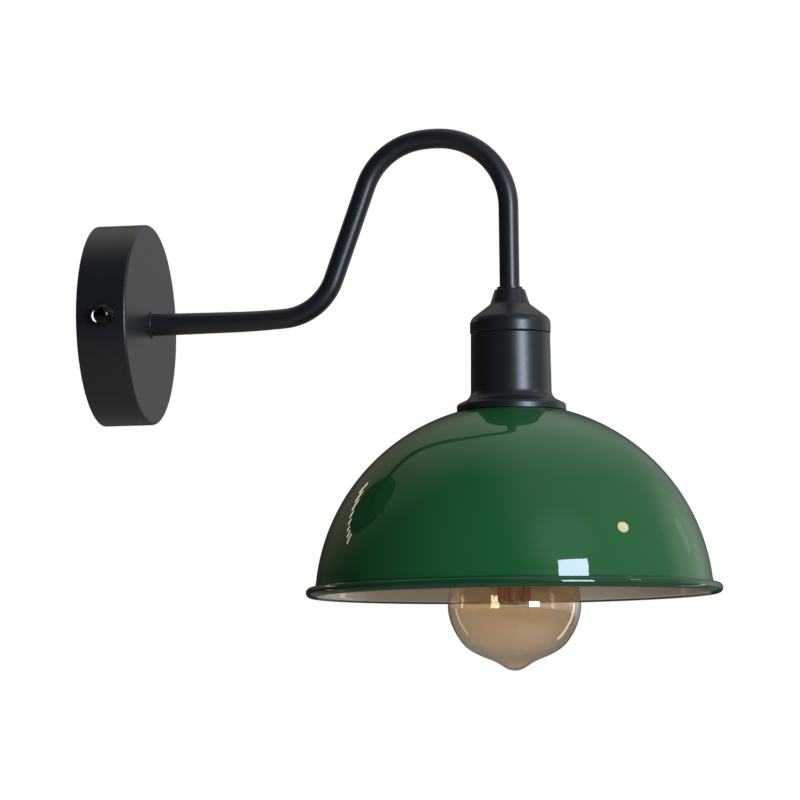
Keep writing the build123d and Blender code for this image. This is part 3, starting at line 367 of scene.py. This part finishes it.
def blown_glass(name, tint, pale_tint, edge_tint, **lustre):
    """Glass of two drifting tints, and a third where the eye looks along the wall."""
    material, tree = new_material(name)
    place = add(tree, "ShaderNodeTexCoord").outputs["Object"]
    wave = add(tree, "ShaderNodeTexNoise", Vector=place, Scale=per_mm(GLASS_WAVE_MM), Detail=1.0)
    ripple = add(tree, "ShaderNodeBump", Strength=0.1, Distance=GLASS_DIP_MM * MM,
                 Height=wave.outputs["Fac"])
    slant = add(tree, "ShaderNodeLayerWeight", Blend=0.18)
    cloud = add(tree, "ShaderNodeTexNoise", Vector=place, Scale=per_mm(TINT_DRIFT_MM), Detail=1.0)
    body = add(tree, "ShaderNodeMix", {"data_type": "RGBA"}, Factor=cloud.outputs["Fac"],
               in6=colour(tint), in7=colour(pale_tint))
    shade = add(tree, "ShaderNodeMix", {"data_type": "RGBA"}, Factor=slant.outputs["Facing"],
                in6=body.outputs[2], in7=colour(edge_tint))
    shader = add(tree, "ShaderNodeBsdfPrincipled", Base_Color=shade.outputs[2], Roughness=0.0,
                 Transmission_Weight=1.0, IOR=1.5, Normal=ripple.outputs["Normal"], **lustre)
    add(tree, "ShaderNodeOutputMaterial", Surface=shader.outputs[0])
    return material


LUSTRE = {"Coat_Weight": 1.0, "Coat_Roughness": 0.02, "Coat_IOR": 1.9}
FINISHES["amber_glass"] = blown_glass("amber_glass", "D9BD94", "D8CDBE", "B5A895", **LUSTRE)
FINISHES["clear_glass"] = blown_glass("clear_glass", "F4F4F2", "F6F6F4", "E4E6E4")
print("made 2 glasses")

# %% [markdown]
# ## Finishes go on the frame's own pieces
# Each real piece has one finish, put on before assembly. Naming forty pieces here one by
# one would work, but the frame's record already names a finish for each piece, so one loop
# dresses all of them and none is forgotten.

# %% Dress the frame
SLOT_OF = {row["node"]: row["material_slot"] for row in frame["record"]["subparts"]}


def dress(piece, material):
    piece.data.materials.clear()
    piece.data.materials.append(material)


for node, slot in SLOT_OF.items():
    dress(NODES[node], FINISHES[slot])
print("dressed", len(SLOT_OF), "nodes")

# %% [markdown]
# ## Turned pieces
# The shade is spun on a lathe, and the bulb, its screw cap, the socket's metal shell and
# the knob-headed screws are round about an axis too. Spinning the section in mesh code
# would do, but one Geometry Nodes tree makes them all: it winds the points of a section
# round Z, and where the piece has a thread it pulls the radius in along a helix. A thread
# is then a rule of three sizes, pitch, depth and length, and not a table of points.

# %% A tree that turns a section and cuts a thread
WELD = 0.001 * MM                    # points nearer than this become one


def new_shape(name, sizes):
    """A geometry tree with one named input for each size, and the sockets they come out of."""
    tree = bpy.data.node_groups.new(name, "GeometryNodeTree")
    tree.interface.new_socket("Section", in_out="INPUT", socket_type="NodeSocketGeometry")
    for size, kind in sizes.items():
        tree.interface.new_socket(size, in_out="INPUT", socket_type=kind)
    tree.interface.new_socket("Piece", in_out="OUTPUT", socket_type="NodeSocketGeometry")
    return tree, tree.nodes.new("NodeGroupInput").outputs


def close_shape(tree, geometry, material):
    """End a tree with smooth faces, real instances and the finish."""
    smooth = add(tree, "GeometryNodeSetShadeSmooth", Geometry=geometry).outputs[0]
    real = add(tree, "GeometryNodeRealizeInstances", Geometry=smooth).outputs[0]
    dressed = add(tree, "GeometryNodeSetMaterial", Geometry=real, Material=material).outputs[0]
    tree.links.new(dressed, tree.nodes.new("NodeGroupOutput").inputs[0])


def turning_tree():
    """Wind the section's points round Z. Crests keep the section's radius, roots lie Depth inside."""
    tree, given = new_shape("turned_piece", {
        "Around": "NodeSocketInt", "Pitch": "NodeSocketFloat", "Depth": "NodeSocketFloat",
        "Low": "NodeSocketFloat", "High": "NodeSocketFloat", "Runout": "NodeSocketFloat",
        "Sharpness": "NodeSocketFloat", "Finish": "NodeSocketMaterial"})
    # a grid whose columns go round the axis, and whose rows go along the section and back to its start
    rows = add(tree, "GeometryNodeAttributeDomainSize", Geometry=given["Section"]).outputs["Point Count"]
    closed_rows = add(tree, MATH, {"operation": "ADD"}, in0=rows, in1=1.0).outputs[0]
    columns = add(tree, MATH, {"operation": "ADD"}, in0=given["Around"], in1=1.0).outputs[0]
    grid = add(tree, "GeometryNodeMeshGrid", Vertices_X=columns, Vertices_Y=closed_rows)
    index = add(tree, "GeometryNodeInputIndex").outputs[0]
    place_in_column = add(tree, MATH, {"operation": "MODULO"}, in0=index, in1=closed_rows).outputs[0]
    row = add(tree, MATH, {"operation": "MODULO"}, in0=place_in_column, in1=rows).outputs[0]
    passed = add(tree, MATH, {"operation": "DIVIDE"}, in0=index, in1=closed_rows).outputs[0]
    column = add(tree, MATH, {"operation": "FLOOR"}, in0=passed).outputs[0]
    turn = add(tree, MATH, {"operation": "DIVIDE"}, in0=column, in1=given["Around"]).outputs[0]
    angle = add(tree, MATH, {"operation": "MULTIPLY"}, in0=turn, in1=math.tau).outputs[0]
    # the section's point for this row
    place = add(tree, "GeometryNodeInputPosition").outputs[0]
    point = add(tree, "GeometryNodeSampleIndex", {"data_type": "FLOAT_VECTOR"}, Geometry=given["Section"],
                Value=place, Index=row).outputs[0]
    radius, height = add(tree, "ShaderNodeSeparateXYZ", Vector=point).outputs[:2]
    # the thread: a wave of height and turn together, round or sharp, that runs out at both ends
    climbed = add(tree, MATH, {"operation": "DIVIDE"}, in0=height, in1=given["Pitch"]).outputs[0]
    phase = add(tree, MATH, {"operation": "SUBTRACT"}, in0=climbed, in1=turn).outputs[0]
    phase_angle = add(tree, MATH, {"operation": "MULTIPLY"}, in0=phase, in1=math.tau).outputs[0]
    cosine = add(tree, MATH, {"operation": "COSINE"}, in0=phase_angle).outputs[0]
    round_wave = add(tree, MATH, {"operation": "MULTIPLY_ADD"}, in0=cosine, in1=-0.5, in2=0.5).outputs[0]
    to_and_fro = add(tree, MATH, {"operation": "PINGPONG"}, in0=phase, in1=0.5).outputs[0]
    sharp_wave = add(tree, MATH, {"operation": "MULTIPLY"}, in0=to_and_fro, in1=2.0).outputs[0]
    wave = add(tree, "ShaderNodeMix", {"data_type": "FLOAT"}, Factor=given["Sharpness"], in2=round_wave,
               in3=sharp_wave).outputs[0]
    above_low = add(tree, MATH, {"operation": "SUBTRACT"}, in0=height, in1=given["Low"]).outputs[0]
    below_high = add(tree, MATH, {"operation": "SUBTRACT"}, in0=given["High"], in1=height).outputs[0]
    nearest = add(tree, MATH, {"operation": "MINIMUM"}, in0=above_low, in1=below_high).outputs[0]
    fade = add(tree, MATH, {"operation": "DIVIDE"}, in0=nearest, in1=given["Runout"]).outputs[0]
    strength = add(tree, "ShaderNodeClamp", Value=fade).outputs[0]
    share = add(tree, MATH, {"operation": "MULTIPLY"}, in0=wave, in1=strength).outputs[0]
    cut = add(tree, MATH, {"operation": "MULTIPLY"}, in0=share, in1=given["Depth"]).outputs[0]
    reach = add(tree, MATH, {"operation": "SUBTRACT"}, in0=radius, in1=cut).outputs[0]
    # wound round the axis, and welded where the grid meets itself
    along_x = add(tree, MATH, {"operation": "COSINE"}, in0=angle).outputs[0]
    along_y = add(tree, MATH, {"operation": "SINE"}, in0=angle).outputs[0]
    x = add(tree, MATH, {"operation": "MULTIPLY"}, in0=reach, in1=along_x).outputs[0]
    y = add(tree, MATH, {"operation": "MULTIPLY"}, in0=reach, in1=along_y).outputs[0]
    wound = add(tree, "ShaderNodeCombineXYZ", X=x, Y=y, Z=height).outputs[0]
    placed = add(tree, "GeometryNodeSetPosition", Geometry=grid.outputs["Mesh"], Position=wound).outputs[0]
    welded = add(tree, "GeometryNodeMergeByDistance", Geometry=placed, Distance=WELD).outputs[0]
    close_shape(tree, welded, given["Finish"])
    return tree


TURNING = turning_tree()
print("turning tree has", len(TURNING.nodes), "nodes")

# %% [markdown]
# ## From a tree to a plain mesh
# A tree could be left on its object as a modifier, but a piece that moves with its body
# is safer as a plain mesh. So the sizes are set by each input's identifier before Blender
# looks at the object, and the result is copied to a mesh. Its faces are turned outwards
# once its doubles are merged, and edges sharper than an angle stay crisp.

# %% Make a plain mesh from a tree
CRISP_ANGLE = math.radians(38.0)


def shaped(name, tree, sizes, section=None):
    """Run a tree with these sizes, and return its result as a plain object."""
    source = bpy.data.meshes.new(name + "_section")
    source.from_pydata([(radius, height, 0.0) for radius, height in section or []], [], [])
    holder = bpy.data.objects.new(name + "_holder", source)
    bpy.context.scene.collection.objects.link(holder)
    modifier = holder.modifiers.new("shape", "NODES")
    modifier.node_group = tree
    for item in tree.interface.items_tree:
        if item.in_out == "INPUT" and item.name in sizes:
            modifier[item.identifier] = sizes[item.name]
    evaluated = holder.evaluated_get(bpy.context.evaluated_depsgraph_get())
    mesh = bpy.data.meshes.new_from_object(evaluated)
    bpy.data.objects.remove(holder)
    work = bmesh.new()
    work.from_mesh(mesh)
    loose = [edge for edge in work.edges if not edge.link_faces]
    bmesh.ops.delete(work, geom=loose, context="EDGES")
    bmesh.ops.recalc_face_normals(work, faces=work.faces)
    work.to_mesh(mesh)
    work.free()
    mesh.set_sharp_from_angle(angle=CRISP_ANGLE)
    mesh.name = name
    piece = bpy.data.objects.new(name, mesh)
    bpy.context.scene.collection.objects.link(piece)
    return piece


def turned(name, section, finish, around=128, pitch=1.0, depth=0.0, low=0.0, high=0.0, runout=1.0,
           sharpness=0.0):
    """A turned piece on the Z axis. The section is a closed outline of (radius, height) in mm."""
    sizes = {"Around": around, "Pitch": pitch * MM, "Depth": depth * MM, "Low": low * MM, "High": high * MM,
             "Runout": runout * MM, "Sharpness": sharpness, "Finish": FINISHES[finish]}
    return shaped(name, TURNING, sizes, [(radius * MM, height * MM) for radius, height in section])


def stand(piece, body, node, place):
    """Put a made piece in its place in its own mesh, and let it ride for the node it stands for."""
    piece.data.transform(place)
    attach(piece, body)
    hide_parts(node)
    print(f"{piece.name}: {len(piece.data.polygons)} faces")


def arc(centre, radius, first_deg, last_deg, steps):
    """Points of an arc, both ends included; degrees run from outwards, anticlockwise."""
    turns = [math.radians(first_deg + (last_deg - first_deg) * step / steps) for step in range(steps + 1)]
    return [(centre[0] + radius * math.cos(turn), centre[1] + radius * math.sin(turn)) for turn in turns]


def smooth_line(points, known, steps):
    """A curve through points, one Bezier for each gap. Known headings are given by number, in
    degrees; elsewhere the line heads between its two gaps, more like the shorter one."""
    points = [Vector((*point, 0.0)) for point in points]
    gaps = [end - start for start, end in zip(points, points[1:])]
    headings = []
    for number in range(len(points)):
        if number in known:
            turn = math.radians(known[number])
            headings.append(Vector((math.cos(turn), math.sin(turn), 0.0)))
        else:
            before, after = gaps[number - 1], gaps[number]
            mixed = before.normalized() * after.length + after.normalized() * before.length
            headings.append(mixed.normalized())
    line = []
    for number, gap in enumerate(gaps):
        start, end = points[number], points[number + 1]
        reach = gap.length / 3
        bend = interpolate_bezier(start, start + headings[number] * reach,
                                  end - headings[number + 1] * reach, end, steps + 1)
        line += [(point.x, point.y) for point in bend[:-1]]
    return line + [(points[-1].x, points[-1].y)]


def inside_of(line, wall):
    """The same line moved by a wall's thickness to its right hand, where it runs downwards."""
    moved = []
    for number, point in enumerate(line):
        before, after = line[max(number - 1, 0)], line[min(number + 1, len(line) - 1)]
        along = Vector((after[0] - before[0], after[1] - before[1])).normalized()
        moved.append((max(point[0] + along.y * wall, 0.0), point[1] - along.x * wall))
    return moved


HEAD_PLACE = Matrix.Translation((LAMP_AXIS.x, LAMP_AXIS.y, 0.0))
print("lathe ready")

# %% [markdown]
# ## The shade
# A flat disc of steel is pressed over a former on the lathe: a flat seat for the clamping
# ring, a bowl of one radius, a short straight stretch, and an edge rolled outwards over a
# wire into a bead. Part of a sphere, thickened, would give the bowl but not the bead, so
# the section is drawn as those lines and arcs, outside and then back inside, and spun.

# %% Shade
SHEET = 1.0
BOWL_R = 97.25
SEAT_Z = -44.85
FLAT_R = 20.9                        # the flat seat's last point before the neck
NECK_R = 22.3                        # centre of the neck's bend
NECK_BEND_R = 1.6
NECK_BEND_END = 12                   # degrees, where the neck's bend meets the bowl
NECK_STEPS = 6
NECK_END_R = 24.5                    # the bowl starts here
HOLE_R = 18.4
STRAIGHT_Z = -131.5                  # the bowl ends and the straight stretch begins
BEAD_MIDDLE_R = 2.5                  # to the inner face of the rolled sheet
BEAD_TURN = 285.0                    # degrees of a full turn that the edge is rolled
BEAD_STEPS = 40
BOWL_STEPS = 60


def bowl_wall(radius):
    """The bowl from its neck down to the straight stretch."""
    neck_deg = 90 - math.degrees(math.asin(NECK_END_R / radius))
    end_deg = math.degrees(math.asin((STRAIGHT_Z - BOWL_Z) / radius))
    return arc((0.0, BOWL_Z), radius, neck_deg, end_deg, BOWL_STEPS)


def shade_section():
    """Outside from the seat to the bead's end, then back along the inside."""
    neck = (NECK_R, SEAT_Z - NECK_BEND_R)
    outside = [(HOLE_R, SEAT_Z), (FLAT_R, SEAT_Z)]
    outside += arc(neck, NECK_BEND_R, 90, NECK_BEND_END, NECK_STEPS)
    outside += bowl_wall(BOWL_R)
    inside = [(HOLE_R, SEAT_Z - SHEET), (FLAT_R, SEAT_Z - SHEET)]
    inside += arc(neck, NECK_BEND_R - SHEET, 90, NECK_BEND_END, NECK_STEPS)
    inside += bowl_wall(BOWL_R - SHEET)
    bead = arc((BEAD_R, BEAD_Z), BEAD_MIDDLE_R - SHEET, 180, 180 + BEAD_TURN, BEAD_STEPS)
    rolled = arc((BEAD_R, BEAD_Z), BEAD_MIDDLE_R, 180, 180 + BEAD_TURN, BEAD_STEPS)
    return outside + bead + rolled[::-1] + inside[::-1]


bowl = turned("shade_bowl", shade_section(), "green_enamel", around=192)
stand(bowl, "fixture", "shade", HEAD_PLACE)

# %% [markdown]
# ## The bulb's glass
# The envelope is blown in a mould and drawn off below, which leaves its small tip. A sphere
# pulled long by hand would come near it. One smooth line through a few measured points is
# closer and no longer: it is level and plumb where the glass is, and the same line again,
# a wall's thickness inside, closes the section.

# %% Bulb envelope
GLASS_WALL = 0.7
BULB_LINE = [(12.4, -57.5), (13.3, -66.5), (22.0, -96.0), (32.5, -143.5), (29.5, -155.3),
             (21.9, -165.0), (12.4, -169.6), (5.6, -173.3), (0.0, -175.19)]
BULB_HEADINGS = {0: -90, 3: -90, 5: -146, 6: -159, 7: -144, 8: 180}
blown_line = smooth_line(BULB_LINE, BULB_HEADINGS, steps=10)
envelope = turned("bulb_envelope", blown_line + inside_of(blown_line, GLASS_WALL)[::-1], "amber_glass",
                  around=160)
stand(envelope, "bulb", "bulb_glass", HEAD_PLACE)

# %% [markdown]
# ## The lamp thread
# Screw bulbs have a round "knuckle" thread, rolled into thin metal, of seven turns to the
# inch. A coil of wire round a plain tube looks like it from outside, but the real wave is
# in the metal itself, so the wall is waved too. The cap and the socket's shell get it from
# one set of sizes, in the same phase, so their waves nest at rest and at every point of the
# way out. The cap narrows to the root of the thread at its top, which lets it start.

# %% Bulb cap and socket thread
LAMP_THREAD = {"pitch": 3.629, "depth": 0.7, "runout": 1.5}
LAMP_SHEET = 0.3                     # the thin metal of both
ROW_STEP = 0.25                      # a point of the section for each step down
CAP_R = 13.0
CAP_NECK_R = 12.3
CAP_TOP_Z = -40.6                    # the thread starts here
CAP_THREAD_END_Z = -56.5
CAP_STEPS = 78
CAP_GROWTH_STEPS = 6                 # the neck widens to the full radius over these
SHELL_R = 13.6
SHELL_TOP_Z = -34.8
SHELL_THREAD = (-55.0, -35.0)
SHELL_STEPS = 84

cap_outside = [(11.6, -38.4), (12.2, -38.8), (CAP_NECK_R, CAP_TOP_Z)]
for step in range(1, CAP_STEPS + 1):
    cap_radius = min(CAP_R, CAP_NECK_R + LAMP_THREAD["depth"] * step / CAP_GROWTH_STEPS)
    cap_outside.append((cap_radius, CAP_TOP_Z - ROW_STEP * step))
cap = turned("bulb_cap", cap_outside + inside_of(cap_outside, LAMP_SHEET)[::-1], "gilt_cap_metal",
             low=CAP_THREAD_END_Z, high=CAP_TOP_Z, **LAMP_THREAD)
stand(cap, "bulb", "bulb_screw_cap", HEAD_PLACE)

liner_outside = [(SHELL_R, SHELL_TOP_Z - ROW_STEP * step) for step in range(SHELL_STEPS)]
liner = turned("shell_thread", liner_outside + inside_of(liner_outside, LAMP_SHEET)[::-1],
               "nickel_plated_brass", low=SHELL_THREAD[0], high=SHELL_THREAD[1], **LAMP_THREAD)
liner.data.transform(HEAD_PLACE)
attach(liner, "fixture")
print("shell_thread:", len(liner.data.polygons), "faces")

# %% [markdown]
# ## Knob-headed screws
# The canopy is held by two M4 screws with ball heads, turned from one bar and lacquered.
# A ball joined to a cylinder would show a crease. One section has the tip, the shank and
# the ball, and the same tree cuts the sharp thread. It is made standing, then each screw
# is laid on its side and put in its slot.

# %% Knob-headed screws
SCREW_R = 2.0                        # an M4 screw
SCREW_TIP_R = 1.5
SCREW_THREAD = {"pitch": 0.7, "depth": 0.3, "runout": 0.4, "sharpness": 1.0}
THREAD_END = 49.4
SHANK_START = 43.7
SHANK_STEP = 0.1
SHANK_STEPS = 60
KNOB_CENTRE = 53.85                  # from the canopy's axis
KNOB_R = 5.1
KNOB_SEAT = 50.05
SCREW_END = 43.2
SCREW_DEPTH = 15.2                   # distance of the screws' axis from the wall


def knob_screw_section():
    seat_deg = -math.degrees(math.asin((KNOB_CENTRE - KNOB_SEAT) / KNOB_R))
    shank = [(SCREW_R, SHANK_START + SHANK_STEP * step) for step in range(SHANK_STEPS)]
    knob = arc((0.0, KNOB_CENTRE), KNOB_R, seat_deg, 90, steps=36)
    tip = [(0.0, SCREW_END), (SCREW_TIP_R, SCREW_END)]
    return [*tip, *shank, (SCREW_R, KNOB_SEAT), *knob[:-1], (0.0, KNOB_CENTRE + KNOB_R)]


for side, turn in (("near", -90), ("far", 90)):
    screw = turned(f"knob_screw_{side}", knob_screw_section(), "black_gloss_knob", around=64,
                   low=SCREW_END, high=THREAD_END, **SCREW_THREAD)
    place = Matrix.Translation((0, -SCREW_DEPTH * MM, 0)) @ Matrix.Rotation(math.radians(turn), 4, "Y")
    stand(screw, "fixture", "ball_head_screws", place)

# %% [markdown]
# ## Light sticks
# An LED filament is a glass strip with a row of tiny chips under a coat of orange silicone
# phosphor, so the coat swells a little over each chip. Six rods could be modelled one by
# one. One tree makes a stick instead and stands copies of it on the points of a circle,
# so all stay alike and their number is one value.

# %% Light sticks
STICK_SIDES = 14                     # faces round a stick
STICK_RINGS = 144                    # six for each chip
STICK = {"Count": 6, "Ring": 7.2 * MM, "Length": 38.5 * MM, "Radius": 1.0 * MM, "Chip": 1.6 * MM,
         "Swell": 0.05, "Middle": -122.25 * MM}


def stick_tree():
    """Copies of one stick, standing in a ring."""
    kinds = {"Count": "NodeSocketInt", **{size: "NodeSocketFloat" for size in list(STICK)[1:]},
             "Finish": "NodeSocketMaterial"}
    tree, given = new_shape("light_sticks", kinds)
    rod = add(tree, "GeometryNodeMeshCylinder", Vertices=STICK_SIDES, Side_Segments=STICK_RINGS,
              Radius=given["Radius"], Depth=given["Length"]).outputs["Mesh"]
    place = add(tree, "GeometryNodeInputPosition").outputs[0]
    x, y, z = add(tree, "ShaderNodeSeparateXYZ", Vector=place).outputs
    chips = add(tree, MATH, {"operation": "DIVIDE"}, in0=z, in1=given["Chip"]).outputs[0]
    angle = add(tree, MATH, {"operation": "MULTIPLY"}, in0=chips, in1=math.tau).outputs[0]
    wave = add(tree, MATH, {"operation": "COSINE"}, in0=angle).outputs[0]
    width = add(tree, MATH, {"operation": "MULTIPLY_ADD"}, in0=wave, in1=given["Swell"], in2=1.0).outputs[0]
    wide_x = add(tree, MATH, {"operation": "MULTIPLY"}, in0=x, in1=width).outputs[0]
    wide_y = add(tree, MATH, {"operation": "MULTIPLY"}, in0=y, in1=width).outputs[0]
    swollen = add(tree, "ShaderNodeCombineXYZ", X=wide_x, Y=wide_y, Z=z).outputs[0]
    stick = add(tree, "GeometryNodeSetPosition", Geometry=rod, Position=swollen).outputs[0]
    ring = add(tree, "GeometryNodeMeshCircle", Vertices=given["Count"], Radius=given["Ring"]).outputs[0]
    half_step = add(tree, MATH, {"operation": "DIVIDE"}, in0=math.pi, in1=given["Count"]).outputs[0]
    turn = add(tree, "ShaderNodeCombineXYZ", Z=half_step).outputs[0]
    lift = add(tree, "ShaderNodeCombineXYZ", Z=given["Middle"]).outputs[0]
    spun = add(tree, "GeometryNodeTransform", Geometry=ring, Rotation=turn, Translation=lift).outputs[0]
    copies = add(tree, "GeometryNodeInstanceOnPoints", Points=spun, Instance=stick).outputs[0]
    close_shape(tree, copies, given["Finish"])
    return tree


sticks = shaped("light_sticks", stick_tree(), {**STICK, "Finish": FINISHES["orange_phosphor"]})
stand(sticks, "bulb", "led_filaments", HEAD_PLACE)

# %% [markdown]
# ## Light
# A studio can be lit by a sky image, by bare lamps or by soft boxes. Soft boxes are used,
# because gloss shows their shape: a tall panel in front to the right gives the crisp patch
# on the enamel and the soft streak down the cover, a small round one gives the spark, two
# low strips draw the edges of the bulb, a small panel behind brightens the bowl's right
# side, and a row of eight little ones gives the broken streak at the left. A panel's
# strength is given as the brightness of its face, so that what it lights and what it shows
# in the gloss agree.

# %% Lamps
LAMP_DISTANCE = 2.2                  # metres, to the middle of the object


def direction(right, up, toward):
    """A direction told as in the picture: right, up, and toward the viewer."""
    return (RIGHT * right + UP * up + TOWARD * toward).normalized()


def area_lamp(name, where, width, height, brightness, tint, shape="RECTANGLE"):
    """A flat lamp that faces the object; brightness is that of its surface, 1 is white."""
    data = bpy.data.lights.new(name, "AREA")
    data.shape = shape
    data.size = width
    data.size_y = height
    area = width * height * (math.pi / 4 if shape == "ELLIPSE" else 1.0)
    data.energy = brightness * math.pi * area
    data.color = colour(tint)[:3]
    lamp = bpy.data.objects.new(name, data)
    bpy.context.scene.collection.objects.link(lamp)
    lamp.location = CENTRE + where * LAMP_DISTANCE
    lamp.rotation_mode = "QUATERNION"
    lamp.rotation_quaternion = where.to_track_quat("Z", "Y")


area_lamp("tall_panel", direction(0.54, 0.15, 0.80), 0.675, 1.1, 22.0, "D8E9FF")
area_lamp("low_strip_right", direction(0.80, -0.36, -0.48), 0.24, 1.5, 1.6, "FFF6EA")
area_lamp("low_strip_left", direction(-0.78, -0.38, -0.50), 0.20, 1.1, 0.8, "EDEFF0")
area_lamp("round_spot", direction(0.82, 0.525, 0.18), 0.28, 0.19, 15.0, "FFE6C4", "ELLIPSE")
area_lamp("small_panel", direction(0.78, 0.22, -0.57), 0.22, 0.34, 0.35, "E8F2FF")

ROW_LAMPS = 8
row_first = direction(-0.484, 0.32, -0.792)
row_last = direction(-0.79, 0.25, -0.56)
for number in range(ROW_LAMPS):
    where = row_first.slerp(row_last, number / (ROW_LAMPS - 1))
    area_lamp(f"row_lamp_{number}", where, 0.05, 0.12, 5.0, "FFE9C8")

# %% [markdown]
# ## World
# What the camera sees past the object is plain white, and so is what is seen through glass.
# Gloss and dull surfaces see a studio instead: light from above and from the right, dim at
# the left and below, with four soft pale patches in the gloss. Each patch could be a lamp
# too, but a lamp's reflection has a hard edge, and these fade out. The Light Path node
# tells the kinds of ray apart.

# %% World
FILL_BRIGHT = "C0C3C6"               # soft light from above and the right,
FILL_DIM = "51453A"                  # and from below and the left
GLOSS_DIM = 0.03                     # the same in the gloss
GLOSS_BRIGHT = 0.42
GLOSS_BELOW = "3E2F24"
SOFT_PATCHES = (                     # where, cosines at a patch's edge and core, tint
    (direction(-0.40, 0.68, -0.61), 0.70, 0.97, "7C7766"),
    (direction(0.42, 0.62, 0.66), 0.93, 0.995, "8497A6"),
    (direction(0.80, 0.14, -0.58), 0.90, 0.99, "A4AAA0"),
    (direction(0.00, 0.88, -0.47), 0.75, 1.00, "949898"))


def seen_plainly(tree, path):
    """1 where a ray comes straight from the camera, or through glass."""
    return add(tree, MATH, {"operation": "MAXIMUM"}, in0=path["Is Camera Ray"],
               in1=path["Is Transmission Ray"]).outputs[0]


def studio_gloss(tree, look):
    """What gloss shows for the direction that a ray looks in."""
    aside = add(tree, "ShaderNodeVectorMath", {"operation": "DOT_PRODUCT"}, in0=look,
                in1=RIGHT + UP * 0.45).outputs["Value"]
    shown = add(tree, "ShaderNodeMapRange", {"interpolation_type": "SMOOTHSTEP"}, Value=aside,
                From_Min=0.10, From_Max=0.60, To_Min=GLOSS_DIM, To_Max=GLOSS_BRIGHT).outputs["Result"]
    for where, edge, core, tint in SOFT_PATCHES:
        nearness = add(tree, "ShaderNodeVectorMath", {"operation": "DOT_PRODUCT"}, in0=look,
                       in1=where).outputs["Value"]
        share = add(tree, "ShaderNodeMapRange", {"interpolation_type": "SMOOTHSTEP"}, Value=nearness,
                    From_Min=edge, From_Max=core, To_Min=0.0, To_Max=1.0)
        shown = add(tree, "ShaderNodeMix", {"data_type": "RGBA", "blend_type": "ADD"},
                    Factor=share.outputs["Result"], in6=shown, in7=colour(tint)).outputs[2]
    height = add(tree, "ShaderNodeSeparateXYZ", Vector=look).outputs["Z"]
    below = add(tree, "ShaderNodeMapRange", {"interpolation_type": "SMOOTHSTEP"}, Value=height,
                From_Min=-0.05, From_Max=-0.30, To_Min=0.0, To_Max=1.0)
    return add(tree, "ShaderNodeMix", {"data_type": "RGBA"}, Factor=below.outputs["Result"],
               in6=shown, in7=colour(GLOSS_BELOW)).outputs[2]


def studio_fill(tree, look):
    """The soft light that dull surfaces get from the direction that a ray looks in."""
    aside = add(tree, "ShaderNodeVectorMath", {"operation": "DOT_PRODUCT"}, in0=look,
                in1=direction(0.8, 0.4, 0.0)).outputs["Value"]
    rise = add(tree, "ShaderNodeMapRange", {"interpolation_type": "SMOOTHSTEP"}, Value=aside,
               From_Min=-0.9, From_Max=0.8, To_Min=0.0, To_Max=1.0)
    return add(tree, "ShaderNodeMix", {"data_type": "RGBA"}, Factor=rise.outputs["Result"],
               in6=colour(FILL_DIM), in7=colour(FILL_BRIGHT)).outputs[2]


def make_world():
    world = bpy.data.worlds.new("studio")
    world.use_nodes = True
    tree = world.node_tree
    tree.nodes.clear()
    path = add(tree, "ShaderNodeLightPath").outputs
    look = add(tree, "ShaderNodeTexCoord").outputs["Generated"]
    studio = add(tree, "ShaderNodeMix", {"data_type": "RGBA"}, Factor=path["Is Glossy Ray"],
                 in6=studio_fill(tree, look), in7=studio_gloss(tree, look))
    shown = add(tree, "ShaderNodeMix", {"data_type": "RGBA"}, Factor=seen_plainly(tree, path),
                in6=studio.outputs[2], in7=colour("FFFFFF"))
    back = add(tree, "ShaderNodeBackground", Color=shown.outputs[2])
    add(tree, "ShaderNodeOutputWorld", Surface=back.outputs[0])
    bpy.context.scene.world = world


make_world()
print("world has", len(bpy.context.scene.world.node_tree.nodes), "nodes")

# %% [markdown]
# ## Floor and view
# The light that comes up from a floor fills the underside of a wall lamp. A floor close
# below would catch a sharp shadow and hide the lamp from low views, so it lies as far down
# as under a real wall lamp, and it is pale. It is part of the stage, not of the object.

# %% Floor and view
HEIGHT_ON_WALL = 1.6                 # metres; wall lamps hang at about eye level
FLOOR_HALF = 8.0                     # metres, from its middle to each side


def make_floor():
    level = cad_low.z - HEIGHT_ON_WALL
    mesh = bpy.data.meshes.new("floor")
    signs = ((-1, -1), (1, -1), (1, 1), (-1, 1))
    corners = [(x * FLOOR_HALF, y * FLOOR_HALF, level) for x, y in signs]
    mesh.from_pydata(corners, [], [(0, 1, 2, 3)])
    floor = bpy.data.objects.new("floor", mesh)
    bpy.context.scene.collection.objects.link(floor)
    material, tree = new_material("pale_floor")
    path = add(tree, "ShaderNodeLightPath").outputs
    tint = add(tree, "ShaderNodeMix", {"data_type": "RGBA"}, Factor=seen_plainly(tree, path),
               in6=colour("C4BAAC"), in7=colour("E6E6E6"))
    dull = add(tree, "ShaderNodeBsdfDiffuse", Color=tint.outputs[2])
    add(tree, "ShaderNodeOutputMaterial", Surface=dull.outputs[0])
    dress(floor, material)


make_floor()
bpy.context.scene.view_settings.view_transform = "Standard"
print("floor lies", HEIGHT_ON_WALL, "m below the lamp")
